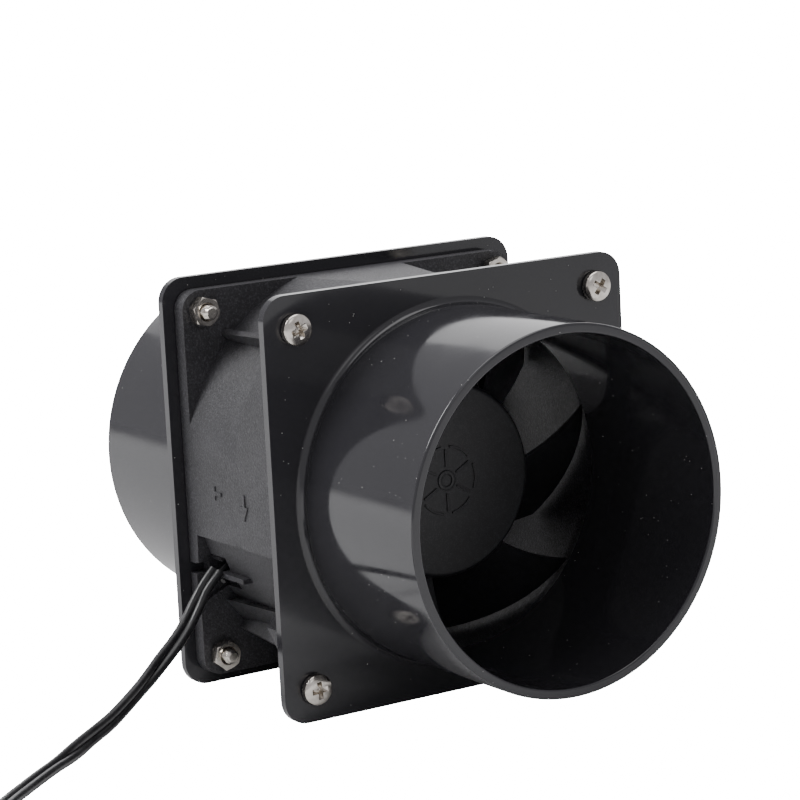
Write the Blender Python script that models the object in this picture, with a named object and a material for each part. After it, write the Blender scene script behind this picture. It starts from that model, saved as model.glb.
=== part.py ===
"""Inline duct fan: an 80 mm axial fan clamped between two plates whose collars take 75 mm duct.

Metres, +Z up. The fan's axis runs along Y, with the intake collar towards -Y. The fan stands on the
lower edges of its two plates, at Z = 0, with the origin midway between them.
"""
import math

import bmesh
import bpy
from mathutils import Matrix, Vector

MM = 0.001
TAU = 2 * math.pi

# ---------------------------------------------------------------- driving dimensions
PLATE_SIDE = 85.0 * MM
PLATE_THICKNESS = 1.8 * MM
PLATE_CORNER = 5.0 * MM
COLLAR_DIAMETER = 72.5 * MM
COLLAR_WALL = 2.0 * MM
COLLAR_LENGTH = 39.5 * MM
COLLAR_FILLET = 1.5 * MM
COLLAR_RIM_ROUND = 0.5 * MM

FAN_SIDE = 80.0 * MM
FAN_DEPTH = 38.0 * MM
EAR_THICKNESS = 3.5 * MM
EAR_CORNER = 4.0 * MM
HOLE_SPACING = 71.5 * MM
THROAT_RADIUS = 38.0 * MM
INLET_FLARE = 0.9 * MM
INLET_FLARE_DEPTH = 6.0 * MM
BARREL_RADIUS = 42.0 * MM
BARREL_DRAFT = 1.4 * MM
FLARE_START = -2.5 * MM
FLARE_GROWTH = 8.7 * MM
RIB_WIDTH = 1.2 * MM
RIB_HEIGHT_REAR = 1.8 * MM
RIB_HEIGHT_FRONT = 4.0 * MM
PAD_HALF_HEIGHT = 10.0 * MM
BARE_BARREL_RADIUS = 39.8 * MM
BARE_BARREL_END = 24.5 * MM
NUT_ROOM = 0.5 * MM
NUT_POCKET_DEPTH = 12.0 * MM
SPOT_FACE = 0.1 * MM

BOLT_DIAMETER = 3.0 * MM
BOLT_LENGTH = 10.5 * MM
BOLT_HEAD_DIAMETER = 6.3 * MM
BOLT_HEAD_HEIGHT = 2.1 * MM
RECESS_WIDTH = 0.9 * MM
RECESS_SPAN = 3.4 * MM
RECESS_DEPTH = 1.3 * MM
NUT_WIDTH = 5.5 * MM
NUT_THICKNESS = 2.4 * MM

HUB_RADIUS = 20.0 * MM
MOTOR_BACK_SPACE = 8.35 * MM
HUB_RECESS = 1.65 * MM
HUB_WALL = 1.4 * MM
HUB_FACE_THICKNESS = 2.0 * MM
HUB_ROUND = 1.0 * MM
BOSS_RADIUS = 4.0 * MM
BOSS_LENGTH = 4.2 * MM

BLADE_COUNT = 7
BLADE_TIP_GAP = 0.8 * MM
BLADE_FRONT_INSET = 2.2 * MM
BLADE_DEPTH_ROOT = 22.0 * MM
BLADE_DEPTH_TIP = 17.0 * MM
BLADE_SPAN_ROOT = math.radians(50)
BLADE_SPAN_TIP = math.radians(40)
BLADE_SWEEP = math.radians(13)
BLADE_PHASE = math.radians(3)
BLADE_THICK_ROOT = 1.5 * MM
BLADE_THICK_TIP = 1.0 * MM

YOKE_WALL = 1.0 * MM
MAGNET_WALL = 2.2 * MM
MAGNET_LENGTH = 15.0 * MM
AIR_GAP = 0.6 * MM
CORE_LENGTH = 9.5 * MM
CORE_INSET = 9.15 * MM
POLE_COUNT = 4
POLE_STEM = 4.0 * MM
POLE_SHOE = 1.6 * MM
POLE_SHOE_SPAN = math.radians(68)
CORE_RING = 2.5 * MM
INSULATOR_THICKNESS = 1.2 * MM
INSULATOR_OVERHANG = 0.2 * MM
COIL_THICKNESS = 1.8 * MM

TUBE_RADIUS = 5.4 * MM
BEARING_RADIUS = 4.0 * MM
BEARING_WIDTH = 3.4 * MM
BEARING_STEP = 0.8 * MM
RACE_WALL = 0.6 * MM
BALL_RADIUS = 0.5 * MM
BALL_COUNT = 7
SHAFT_RADIUS = 1.5 * MM
CLIP_WIDTH = 0.4 * MM
WASHER_WIDTH = 0.3 * MM
SPRING_WIRE = 0.4 * MM
SPRING_TURNS = 2.5

BOARD_THICKNESS = 1.2 * MM
BOARD_GAP = 1.3 * MM
# Chips on the board: distance from the axis, then their size outwards, along the axis and across.
SENSOR_PLACE = 15.0 * MM
SENSOR_SIZE = (1.6 * MM, 0.7 * MM, 3.0 * MM)
DRIVER_PLACE = 11.5 * MM
DRIVER_SIZE = (3.5 * MM, 0.8 * MM, 5.0 * MM)
BASE_RIM = 1.2 * MM
BASE_FLOOR = 3.0 * MM
BASE_RECESS = 1.0 * MM
STRUT_WIDTH = 2.2 * MM
STRUT_DEPTH = 5.0 * MM
STRUT_COUNT = 4
STRUT_STEP = 0.2 * MM
LABEL_RADIUS = 15.0 * MM
LABEL_THICKNESS = 0.3 * MM

CORD_RADIUS = 0.9 * MM
LEAD_RADIUS = 0.6 * MM
POINT_SPACING = 5.0
CHANNEL_WIDTH = 4.4 * MM
CHANNEL_START = 15.2 * MM
WINDOW_WIDTH = 8.0 * MM
WINDOW_DEPTH = 6.0 * MM
NOTCH_HEIGHT = 2.2 * MM
COIL_RADIUS = 19.0 * MM
COIL_WIDTH = 7.6 * MM
COIL_HEIGHT = 7.0 * MM
TIE_THICKNESS = 0.5 * MM
TIE_WIDTH = 3.0 * MM
TIE_ANGLE = math.radians(25)
PLUG_RADIUS = 4.6 * MM
PLUG_LENGTH = 20.0 * MM
PLUG_RELIEF = 9.0 * MM
SLEEVE_RADIUS = 2.75 * MM
SLEEVE_LENGTH = 9.5 * MM
SLEEVE_WALL = 0.5 * MM

FACE_GAP = 0.3 * MM
FIT_GAP = 0.15 * MM

ROUND_STEPS = 64
INNER_STEPS = 40
SMALL_STEPS = 24
BOLT_STEPS = 16
MERGE = 1e-7

# ---------------------------------------------------------------- places that follow from them
AXIS_HEIGHT = PLATE_SIDE / 2
FAN_FACE = FAN_DEPTH / 2
PLATE_INNER = FAN_FACE + FACE_GAP
EAR_INNER = FAN_FACE - EAR_THICKNESS
NUT_SEAT = EAR_INNER + SPOT_FACE
BOLT_PLACE = HOLE_SPACING / 2
COLLAR_RADIUS = COLLAR_DIAMETER / 2
COLLAR_BORE = COLLAR_RADIUS - COLLAR_WALL

HUB_FACE = -FAN_FACE + HUB_RECESS
HUB_INNER = HUB_FACE + HUB_FACE_THICKNESS
HUB_BACK = FAN_FACE - MOTOR_BACK_SPACE
BLADE_TIP = THROAT_RADIUS - BLADE_TIP_GAP
YOKE_RADIUS = HUB_RADIUS - HUB_WALL - FACE_GAP
YOKE_FRONT = HUB_INNER + FACE_GAP
YOKE_BACK = HUB_BACK - FACE_GAP
MAGNET_RADIUS = YOKE_RADIUS - YOKE_WALL - FACE_GAP
CORE_RADIUS = MAGNET_RADIUS - MAGNET_WALL - AIR_GAP
CORE_BORE = TUBE_RADIUS + FACE_GAP
CORE_CENTRE = HUB_BACK - CORE_INSET
CORE_FRONT = CORE_CENTRE - CORE_LENGTH / 2
CORE_BACK = CORE_CENTRE + CORE_LENGTH / 2
BOARD_FRONT = HUB_BACK + BOARD_GAP
BOARD_BACK = BOARD_FRONT + BOARD_THICKNESS
BASE_BACK = FAN_FACE - BASE_RECESS
BASE_FRONT = BASE_BACK - BASE_FLOOR
BASE_RADIUS = HUB_RADIUS + FACE_GAP
TUBE_BORE = BEARING_RADIUS + FIT_GAP
BOSS_BACK = HUB_INNER + BOSS_LENGTH
TUBE_FRONT = BOSS_BACK + 2.2 * MM
FRONT_BEARING = TUBE_FRONT + FACE_GAP
REAR_BEARING = BASE_FRONT - BEARING_WIDTH
SHAFT_FRONT = HUB_FACE + HUB_FACE_THICKNESS * 0.8
CLIP_PLACE = REAR_BEARING + BEARING_WIDTH + FACE_GAP + WASHER_WIDTH + FACE_GAP
SHAFT_BACK = CLIP_PLACE + CLIP_WIDTH + 1.2 * MM
LABEL_FRONT = BASE_BACK - LABEL_THICKNESS
CHANNEL_FLOOR = BASE_BACK - STRUT_STEP - 1.2 * MM
CORD_SIDE_ANGLE = math.radians(207)

# The lead's route in millimetres, from the housing's side window down to the floor and along it to the coil.
CORD_ROUTE = [
    (-40.6, 11.3, 23.0), (-42.6, 11.4, 20.2), (-46.0, 10.3, 16.2), (-50.0, 8.3, 13.3),
    (-55.0, 5.9, 10.5), (-60.0, 3.2, 8.0), (-66.0, 0.3, 5.2), (-71.5, -2.5, 3.1),
    (-77.5, -5.6, 1.5), (-86.2, -12.5, 0.95), (-94.2, -19.1, 0.95), (-101.0, -25.0, 0.95),
    (-107.0, -30.7, 0.95), (-112.2, -36.6, 0.95), (-116.8, -42.2, 0.95), (-121.5, -46.8, 0.95),
]
COIL_CENTRE = Vector((-136.0 * MM, -27.0 * MM, 0.0))
# From the coil's far side to the plug's strain relief.
TAIL_ROUTE = [(-160.1, -28.0, 0.95), (-160.2, -22.0, 1.3), (-160.2, -15.0, 3.2), (-160.2, -8.4, 4.6)]
PLUG_START = Vector((-160.2 * MM, -8.0 * MM, 0.0))


# ---------------------------------------------------------------- making solids
def clear_scene():
    """Start from an empty scene."""
    for thing in list(bpy.data.objects):
        bpy.data.objects.remove(thing, do_unlink=True)


def finish(name, colour, roughness, metallic=0.0):
    """A Principled material in one colour."""
    material = bpy.data.materials.new(name)
    material.use_nodes = True
    shader = material.node_tree.nodes["Principled BSDF"]
    shader.inputs["Base Color"].default_value = (*colour, 1.0)
    shader.inputs["Roughness"].default_value = roughness
    shader.inputs["Metallic"].default_value = metallic
    return material


def place(name, shape, material=None):
    """Put a finished bmesh in the scene as a named object, round faces smooth."""
    bmesh.ops.remove_doubles(shape, verts=shape.verts, dist=MERGE)
    bmesh.ops.recalc_face_normals(shape, faces=shape.faces)
    mesh = bpy.data.meshes.new(name)
    shape.to_mesh(mesh)
    shape.free()
    mesh.shade_smooth()
    mesh.set_sharp_from_angle(angle=math.radians(35))
    thing = bpy.data.objects.new(name, mesh)
    bpy.context.scene.collection.objects.link(thing)
    if material:
        thing.data.materials.append(material)
    return thing


def turned(name, outline, material=None, steps=ROUND_STEPS):
    """Spin (radius, y) points about Y; the outline closes on itself unless it starts on the axis."""
    shape = bmesh.new()
    points = [shape.verts.new((radius, y, 0.0)) for radius, y in outline]
    edges = [shape.edges.new(pair) for pair in zip(points, points[1:])]
    if outline[0][0] > 0:
        edges.append(shape.edges.new((points[-1], points[0])))
    bmesh.ops.spin(shape, geom=points + edges, cent=(0, 0, 0), axis=(0, 1, 0), angle=TAU, steps=steps,
                   use_merge=True)
    return place(name, shape, material)


def ring(name, inner, outer, near, far, material=None, steps=ROUND_STEPS):
    """A plain turned ring between two radii."""
    return turned(name, [(inner, near), (outer, near), (outer, far), (inner, far)], material, steps)


def rod(name, radius, near, far, material=None, steps=SMALL_STEPS):
    """A plain solid cylinder along Y."""
    return turned(name, [(0, near), (radius, near), (radius, far), (0, far)], material, steps)


def extruded(name, corners, push, material=None):
    """Push a flat outline of 3D corners along a vector."""
    shape = bmesh.new()
    face = shape.faces.new([shape.verts.new(corner) for corner in corners])
    lid = bmesh.ops.extrude_face_region(shape, geom=[face])
    pushed = [item for item in lid["geom"] if isinstance(item, bmesh.types.BMVert)]
    bmesh.ops.translate(shape, verts=pushed, vec=push)
    return place(name, shape, material)


def prism(name, outline, near, far, material=None):
    """Extrude an outline of (x, z) points along Y."""
    return extruded(name, [(x, near, z) for x, z in outline], (0, far - near, 0), material)


def slab(name, outline, low, high):
    """Extrude an outline of (x, y) points along Z."""
    return extruded(name, [(x, y, low) for x, y in outline], (0, 0, high - low))


def block(name, low, high, material=None):
    """A box between two corners."""
    (x0, y0, z0), (x1, y1, z1) = low, high
    return prism(name, [(x0, z0), (x1, z0), (x1, z1), (x0, z1)], y0, y1, material)


def arc(centre, radius, start, end, steps):
    """Points (a, b) along an arc, angles in degrees."""
    points = []
    for step in range(steps + 1):
        angle = math.radians(start + (end - start) * step / steps)
        points.append((centre[0] + radius * math.cos(angle), centre[1] + radius * math.sin(angle)))
    return points


def rounded_square(side, corner, steps=6):
    """Outline of a square with round corners."""
    reach = side / 2 - corner
    outline = []
    for index, (x, z) in enumerate(((reach, reach), (-reach, reach), (-reach, -reach), (reach, -reach))):
        outline += arc((x, z), corner, 90 * index, 90 * index + 90, steps)
    return outline


def turn_about_axis(thing, angle):
    """Turn an object's mesh about the Y axis; a positive angle lifts +X towards +Z."""
    thing.data.transform(Matrix.Rotation(-angle, 4, "Y"))
    return thing


def combine(target, tool, operation):
    """Join, cut or intersect the target with a tool, and drop the tool."""
    modifier = target.modifiers.new("shape", "BOOLEAN")
    modifier.operation = operation
    modifier.solver = "EXACT"
    modifier.object = tool
    bpy.context.view_layer.update()
    depsgraph = bpy.context.evaluated_depsgraph_get()
    mesh = bpy.data.meshes.new_from_object(target.evaluated_get(depsgraph))
    shape = bmesh.new()
    shape.from_mesh(mesh)
    bmesh.ops.remove_doubles(shape, verts=shape.verts, dist=MERGE)
    shape.to_mesh(mesh)
    shape.free()
    target.modifiers.clear()
    target.data = mesh
    bpy.data.objects.remove(tool, do_unlink=True)
    return target


def join(target, tool):
    return combine(target, tool, "UNION")


def cut(target, tool):
    return combine(target, tool, "DIFFERENCE")


def tidy_shading(thing):
    """Shade round faces smooth again after Booleans."""
    thing.data.shade_smooth()
    thing.data.set_sharp_from_angle(angle=math.radians(35))
    return thing


def on_axis(thing, y=0.0):
    """Move an object modelled about the world's Y axis onto the fan's axis."""
    thing.location = (0.0, y, AXIS_HEIGHT)
    return thing


def bolt_corners():
    """The four bolt places (x, z) about the fan's axis."""
    return [(x * BOLT_PLACE, z * BOLT_PLACE) for x, z in ((-1, 1), (1, 1), (1, -1), (-1, -1))]


def drill(target, x, z, radius, near, far, steps=SMALL_STEPS):
    """Cut a round hole along Y; the tool's facets are turned off the edges of what it cuts."""
    tool = turn_about_axis(rod("drill", radius, near, far, steps=steps), math.radians(4))
    tool.data.transform(Matrix.Translation((x, 0, z)))
    return cut(target, tool)


# ---------------------------------------------------------------- duct collars
def duct_collar(name, material):
    """Square plate with a round collar, plate's inner face at y = 0 and the mouth towards -Y."""
    plate_face = -PLATE_THICKNESS
    mouth = plate_face - COLLAR_LENGTH
    foot = COLLAR_RADIUS + COLLAR_FILLET
    body = prism(name, rounded_square(PLATE_SIDE, PLATE_CORNER), 0.0, plate_face, material)
    fillet = arc((foot, plate_face - COLLAR_FILLET), COLLAR_FILLET, 90, 180, 3)
    rim = arc((COLLAR_RADIUS - COLLAR_RIM_ROUND, mouth + COLLAR_RIM_ROUND), COLLAR_RIM_ROUND, 0, -90, 1)
    outline = [(0, plate_face / 2), (foot, plate_face / 2)] + fillet + rim + [(0, mouth)]
    join(body, turned("collar", outline))
    lip = COLLAR_BORE + COLLAR_RIM_ROUND
    bore = [(0, MM), (COLLAR_BORE, MM), (COLLAR_BORE, mouth + COLLAR_RIM_ROUND), (lip, mouth),
            (lip, mouth - MM), (0, mouth - MM)]
    cut(body, turned("bore", bore))
    for x, z in bolt_corners():
        drill(body, x, z, BOLT_DIAMETER / 2 + FACE_GAP, MM, plate_face - MM)
    return tidy_shading(body)


def duct_collars(material):
    """The intake and outlet collars; the outlet is the same moulding turned round."""
    front = on_axis(duct_collar("front_duct_collar", material), -PLATE_INNER)
    rear = bpy.data.objects.new("rear_duct_collar", front.data.copy())
    bpy.context.scene.collection.objects.link(rear)
    on_axis(rear, PLATE_INNER)
    rear.rotation_euler = (0, 0, math.pi)


# ---------------------------------------------------------------- fasteners
def cross_recess(depth_from):
    """Plus-shaped tool for the bolt head's cross recess, cutting towards +Y from depth_from."""
    wide, narrow = RECESS_SPAN / 2, RECESS_WIDTH / 2
    outline = [(wide, narrow), (narrow, narrow), (narrow, wide), (-narrow, wide), (-narrow, narrow),
               (-wide, narrow), (-wide, -narrow), (-narrow, -narrow), (-narrow, -wide), (narrow, -wide),
               (narrow, -narrow), (wide, -narrow)]
    return prism("recess", outline, depth_from - MM, depth_from + RECESS_DEPTH)


def bolt_shape(material):
    """Pan-head bolt along Y: seat of the head at y = 0, head towards -Y, thread towards +Y."""
    head = BOLT_HEAD_DIAMETER / 2
    side = BOLT_HEAD_HEIGHT * 0.45
    shank = BOLT_DIAMETER / 2
    tip = 0.4 * MM
    outline = [(0, -BOLT_HEAD_HEIGHT), (head * 0.55, -BOLT_HEAD_HEIGHT * 0.96),
               (head * 0.86, -BOLT_HEAD_HEIGHT * 0.76), (head, -side), (head, 0), (shank, 0),
               (shank, BOLT_LENGTH - tip), (shank - tip, BOLT_LENGTH), (0, BOLT_LENGTH)]
    bolt = turned("bolt_shape", outline, material, BOLT_STEPS)
    return tidy_shading(cut(bolt, cross_recess(-BOLT_HEAD_HEIGHT)))


def nut_shape(material):
    """Hex nut along Y, seat at y = 0 and thickness towards -Y, with chamfered corners."""
    reach = NUT_WIDTH / 2 / math.cos(math.pi / 6)
    outline = [(reach * math.cos(k * TAU / 6), reach * math.sin(k * TAU / 6)) for k in range(6)]
    nut = prism("nut_shape", outline, 0.0, -NUT_THICKNESS, material)
    chamfer = 0.35 * MM
    low = -NUT_THICKNESS
    envelope = [(0, 0), (reach - chamfer, 0), (reach + 0.1 * MM, -chamfer), (reach + 0.1 * MM, low + chamfer),
                (reach - chamfer, low), (0, low)]
    combine(nut, turned("chamfer", envelope, steps=BOLT_STEPS - 4), "INTERSECT")
    drill(nut, 0, 0, BOLT_DIAMETER / 2 + FIT_GAP, MM, low - MM, BOLT_STEPS)
    return tidy_shading(nut)


def at_corners(name, shape, y, about_z):
    """Put a copy of a fastener in each corner at a place along the axis, then drop the original."""
    for index, (x, z) in enumerate(bolt_corners(), start=1):
        piece = bpy.data.objects.new(f"{name}_{index}", shape.data)
        bpy.context.scene.collection.objects.link(piece)
        piece.location = (x, y, AXIS_HEIGHT + z)
        piece.rotation_euler = (0, 0, about_z)
    bpy.data.objects.remove(shape, do_unlink=True)


def fasteners(material):
    """Eight bolts and eight nuts: each pair clamps one corner of a plate to an ear."""
    bolt_place = PLATE_INNER + PLATE_THICKNESS + FACE_GAP
    nut_place = NUT_SEAT - FACE_GAP
    at_corners("front_bolt", bolt_shape(material), -bolt_place, 0.0)
    at_corners("front_nut", nut_shape(material), -nut_place, math.pi)
    at_corners("rear_bolt", bolt_shape(material), bolt_place, math.pi)
    at_corners("rear_nut", nut_shape(material), nut_place, 0.0)


# ---------------------------------------------------------------- fan housing
def spool_outline():
    """Ears as full discs and the barrel between them: a drafted band that flares out to the front ear."""
    reach = FAN_SIDE
    band_front = BARREL_RADIUS - BARREL_DRAFT
    points = [(0, FAN_FACE), (reach, FAN_FACE), (reach, EAR_INNER), (BARREL_RADIUS, EAR_INNER),
              (band_front, FLARE_START)]
    steps = 3
    for step in range(1, steps + 1):
        share = step / steps
        y = FLARE_START + share * (-EAR_INNER - FLARE_START)
        points.append((band_front + FLARE_GROWTH * share ** 0.85, y))
    return points + [(reach, -EAR_INNER), (reach, -FAN_FACE), (0, -FAN_FACE)]


def add_corner_ribs(body):
    """A thin rib along the barrel in each corner, taller towards the intake."""
    inside = BARREL_RADIUS - 1.5 * MM
    rear, front = EAR_INNER + MM, -EAR_INNER - MM
    corners = [(inside, rear), (BARREL_RADIUS + RIB_HEIGHT_REAR, rear),
               (BARREL_RADIUS + RIB_HEIGHT_FRONT, front), (inside, front)]
    for index in range(4):
        rib = slab("rib", corners, -RIB_WIDTH / 2, RIB_WIDTH / 2)
        join(body, turn_about_axis(rib, math.radians(45 + 90 * index)))


def cut_bare_barrel(body):
    """Below the flat pad on the lead's side, the flat and the flare are left out and the barrel is bare."""
    ear = EAR_INNER - FIT_GAP
    shell = turn_about_axis(ring("shell", BARE_BARREL_RADIUS, FAN_SIDE, -ear, ear), math.radians(1))
    side = -FAN_SIDE / 2
    below_pad = block("below_pad", (side - 2 * MM, -FAN_FACE, -BARE_BARREL_END),
                      (side * 0.7, FAN_FACE, -PAD_HALF_HEIGHT))
    cut(body, combine(shell, below_pad, "INTERSECT"))


def cut_bolt_places(body):
    """Bolt holes through both ears, and spot-faced room for the nuts on the ears' inner faces."""
    room = NUT_WIDTH / 2 / math.cos(math.pi / 6) + NUT_ROOM
    for x, z in bolt_corners():
        drill(body, x, z, room, -NUT_SEAT, -EAR_INNER + NUT_POCKET_DEPTH)
        drill(body, x, z, room, EAR_INNER - NUT_POCKET_DEPTH, NUT_SEAT)
        drill(body, x, z, BOLT_DIAMETER / 2 + FACE_GAP, -FAN_FACE - MM, FAN_FACE + MM)


def cut_throat(body):
    """The air passage, a little wider at the intake."""
    flare = THROAT_RADIUS + INLET_FLARE
    throat = [(0, -FAN_FACE - MM), (flare, -FAN_FACE - MM), (flare, -FAN_FACE),
              (THROAT_RADIUS, -FAN_FACE + INLET_FLARE_DEPTH), (THROAT_RADIUS, FAN_FACE + MM),
              (0, FAN_FACE + MM)]
    cut(body, turned("throat", throat))


def cut_lead_window(body):
    """Window through the barrel wall and notch in the rear ear, where the lead leaves the housing."""
    half = WINDOW_WIDTH / 2
    near = EAR_INNER - WINDOW_DEPTH
    window = block("window", (THROAT_RADIUS - 3 * MM, near, -half),
                   (BARREL_RADIUS + 3 * MM, EAR_INNER + MM, half))
    cut(body, turn_about_axis(window, CORD_SIDE_ANGLE))
    x = -FAN_SIDE / 2
    z = THROAT_RADIUS * math.sin(CORD_SIDE_ANGLE)
    half = NOTCH_HEIGHT / 2
    cut(body, block("notch", (x - MM, EAR_INNER - MM, z - half), (x + 3 * MM, FAN_FACE + MM, z + half)))


def base_and_tube():
    """Motor base cup at the rear, with the bearing tube that reaches forward inside the rotor."""
    floor, back = BASE_FRONT, BASE_BACK
    rim_front = HUB_BACK + 2 * FACE_GAP
    recess = LABEL_THICKNESS + FACE_GAP
    recess_edge = LABEL_RADIUS + FACE_GAP
    front_stop = FRONT_BEARING + BEARING_WIDTH + FACE_GAP
    step = TUBE_BORE - BEARING_STEP
    outline = [
        (TUBE_BORE, TUBE_FRONT), (TUBE_RADIUS, TUBE_FRONT), (TUBE_RADIUS, floor),
        (BASE_RADIUS - BASE_RIM, floor),
        (BASE_RADIUS - BASE_RIM, rim_front), (BASE_RADIUS, rim_front), (BASE_RADIUS, back),
        (recess_edge, back), (recess_edge, back - recess), (TUBE_BORE, back - recess),
        (TUBE_BORE, REAR_BEARING - FACE_GAP),
        (step, REAR_BEARING - FACE_GAP), (step, front_stop), (TUBE_BORE, front_stop),
    ]
    return turn_about_axis(turned("base", outline, steps=INNER_STEPS), math.radians(2))


def add_struts(body):
    """Struts from the motor base to the barrel; the one on the lead's side is a channel for the leads."""
    back = BASE_BACK - STRUT_STEP
    front = back - STRUT_DEPTH
    inside, outside = BASE_RADIUS - BASE_RIM / 2, THROAT_RADIUS + 1.2 * MM
    for index in range(STRUT_COUNT):
        angle = CORD_SIDE_ANGLE + TAU * index / STRUT_COUNT
        half = (CHANNEL_WIDTH / 2 + MM) if index == 0 else STRUT_WIDTH / 2
        strut = block("strut", (inside, front, -half), (outside, back, half))
        join(body, turn_about_axis(strut, angle))
    half = CHANNEL_WIDTH / 2
    channel = block("channel", (CHANNEL_START, front - MM, -half), (outside + MM, CHANNEL_FLOOR, half))
    cut(body, turn_about_axis(channel, CORD_SIDE_ANGLE))


def fan_housing(material):
    """Two square ears, the barrel with flats where it reaches the ears' sides, ribs, base and struts."""
    body = turned("fan_housing", spool_outline(), material)
    square = rounded_square(FAN_SIDE, EAR_CORNER)
    combine(body, prism("square", square, -FAN_FACE - MM, FAN_FACE + MM), "INTERSECT")
    cut_bare_barrel(body)
    add_corner_ribs(body)
    cut_bolt_places(body)
    cut_throat(body)
    cut_lead_window(body)
    join(body, base_and_tube())
    add_struts(body)
    return on_axis(tidy_shading(body))


# ---------------------------------------------------------------- impeller and rotor
def blade_point(along, across):
    """Mid-surface of a blade: along runs from hub (0) to tip (1), across from leading (0) to trailing (1)."""
    radius = HUB_RADIUS - HUB_WALL / 2 + (BLADE_TIP - HUB_RADIUS + HUB_WALL / 2) * along
    span = BLADE_SPAN_ROOT + (BLADE_SPAN_TIP - BLADE_SPAN_ROOT) * along
    depth = BLADE_DEPTH_ROOT + (BLADE_DEPTH_TIP - BLADE_DEPTH_ROOT) * along
    angle = BLADE_PHASE + BLADE_SWEEP * along - span * across
    y = HUB_FACE + BLADE_FRONT_INSET + depth * (0.62 * across + 0.38 * across ** 2)
    return Vector((radius * math.cos(angle), y, radius * math.sin(angle)))


def blade_normal(along, across):
    """Unit normal of the blade's mid-surface."""
    small = 0.01
    radial = blade_point(along + small, across) - blade_point(along - small, across)
    chord = blade_point(along, across + small) - blade_point(along, across - small)
    return radial.cross(chord).normalized()


def blade(name):
    """One cambered blade as a closed solid whose edges are thinner than its middle."""
    radial_steps, chord_steps = 4, 8
    shape = bmesh.new()
    sides = []
    for side in (-1, 1):
        grid = []
        for row in range(radial_steps + 1):
            along = row / radial_steps
            thick = BLADE_THICK_ROOT + (BLADE_THICK_TIP - BLADE_THICK_ROOT) * along
            line = []
            for column in range(chord_steps + 1):
                across = column / chord_steps
                half = thick / 2 * (0.45 + 0.55 * math.sin(math.pi * min(max(across, 0.06), 0.94)))
                point = blade_point(along, across) + blade_normal(along, across) * half * side
                if row == radial_steps:
                    flat = Vector((point.x, 0, point.z)).normalized() * BLADE_TIP
                    point = Vector((flat.x, point.y, flat.z))
                line.append(shape.verts.new(point))
            grid.append(line)
        sides.append(grid)
    low, high = sides
    for row in range(radial_steps):
        for column in range(chord_steps):
            for grid in sides:
                near, far = grid[row], grid[row + 1]
                shape.faces.new((near[column], near[column + 1], far[column + 1], far[column]))
    for row in range(radial_steps):
        for column in (0, chord_steps):
            shape.faces.new((low[row][column], low[row + 1][column],
                             high[row + 1][column], high[row][column]))
    for column in range(chord_steps):
        for row in (0, radial_steps):
            shape.faces.new((low[row][column], low[row][column + 1],
                             high[row][column + 1], high[row][column]))
    return place(name, shape)


def impeller(material):
    """Hub cup with a boss for the shaft, and the blades around it."""
    bore = SHAFT_RADIUS + FIT_GAP
    edge = arc((HUB_RADIUS - HUB_ROUND, HUB_FACE + HUB_ROUND), HUB_ROUND, -90, 0, 2)
    outline = [(0, HUB_FACE)] + edge + [
        (HUB_RADIUS, HUB_BACK), (HUB_RADIUS - HUB_WALL, HUB_BACK), (HUB_RADIUS - HUB_WALL, HUB_INNER),
        (BOSS_RADIUS, HUB_INNER), (BOSS_RADIUS, BOSS_BACK), (bore, BOSS_BACK), (bore, SHAFT_FRONT - FACE_GAP),
        (0, SHAFT_FRONT - FACE_GAP)]
    body = turned("impeller", outline, material, INNER_STEPS + 8)
    for index in range(BLADE_COUNT):
        join(body, turn_about_axis(blade("blade"), TAU * index / BLADE_COUNT))
    return on_axis(tidy_shading(body))


def rotor_parts(steel, magnet, bright):
    """Steel yoke, ring magnet, shaft, spring, washer and clip, which all turn with the impeller."""
    inside = YOKE_RADIUS - YOKE_WALL
    yoke = [(BOSS_RADIUS + FACE_GAP, YOKE_FRONT), (YOKE_RADIUS, YOKE_FRONT), (YOKE_RADIUS, YOKE_BACK),
            (inside, YOKE_BACK), (inside, YOKE_FRONT + YOKE_WALL),
            (BOSS_RADIUS + FACE_GAP, YOKE_FRONT + YOKE_WALL)]
    on_axis(turned("rotor_yoke", yoke, steel, INNER_STEPS))
    half = MAGNET_LENGTH / 2
    on_axis(ring("ring_magnet", MAGNET_RADIUS - MAGNET_WALL, MAGNET_RADIUS, CORE_CENTRE - half,
                 CORE_CENTRE + half, magnet, INNER_STEPS))
    groove = SHAFT_RADIUS - 0.4 * MM
    shaft = [(0, SHAFT_FRONT), (SHAFT_RADIUS, SHAFT_FRONT), (SHAFT_RADIUS, CLIP_PLACE - FIT_GAP),
             (groove, CLIP_PLACE - FIT_GAP), (groove, CLIP_PLACE + CLIP_WIDTH + FIT_GAP),
             (SHAFT_RADIUS, CLIP_PLACE + CLIP_WIDTH + FIT_GAP), (SHAFT_RADIUS, SHAFT_BACK), (0, SHAFT_BACK)]
    on_axis(turned("rotor_shaft", shaft, bright, SMALL_STEPS))
    washer_inner = SHAFT_RADIUS + FIT_GAP
    washer_front = REAR_BEARING + BEARING_WIDTH + FACE_GAP
    on_axis(ring("thrust_washer", washer_inner, washer_inner + MM, washer_front,
                 washer_front + WASHER_WIDTH, bright, SMALL_STEPS))
    on_axis(retaining_clip(groove + FIT_GAP, bright))
    on_axis(preload_spring(bright))


def retaining_clip(inner, material):
    """C-shaped clip in the shaft's groove."""
    outer = inner + 1.4 * MM
    opening = 55
    outline = arc((0, 0), outer, opening, 360 - opening, 20)
    outline += arc((0, 0), inner, 360 - opening, opening, 20)
    return prism("retaining_clip", outline, CLIP_PLACE, CLIP_PLACE + CLIP_WIDTH, material)


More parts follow.
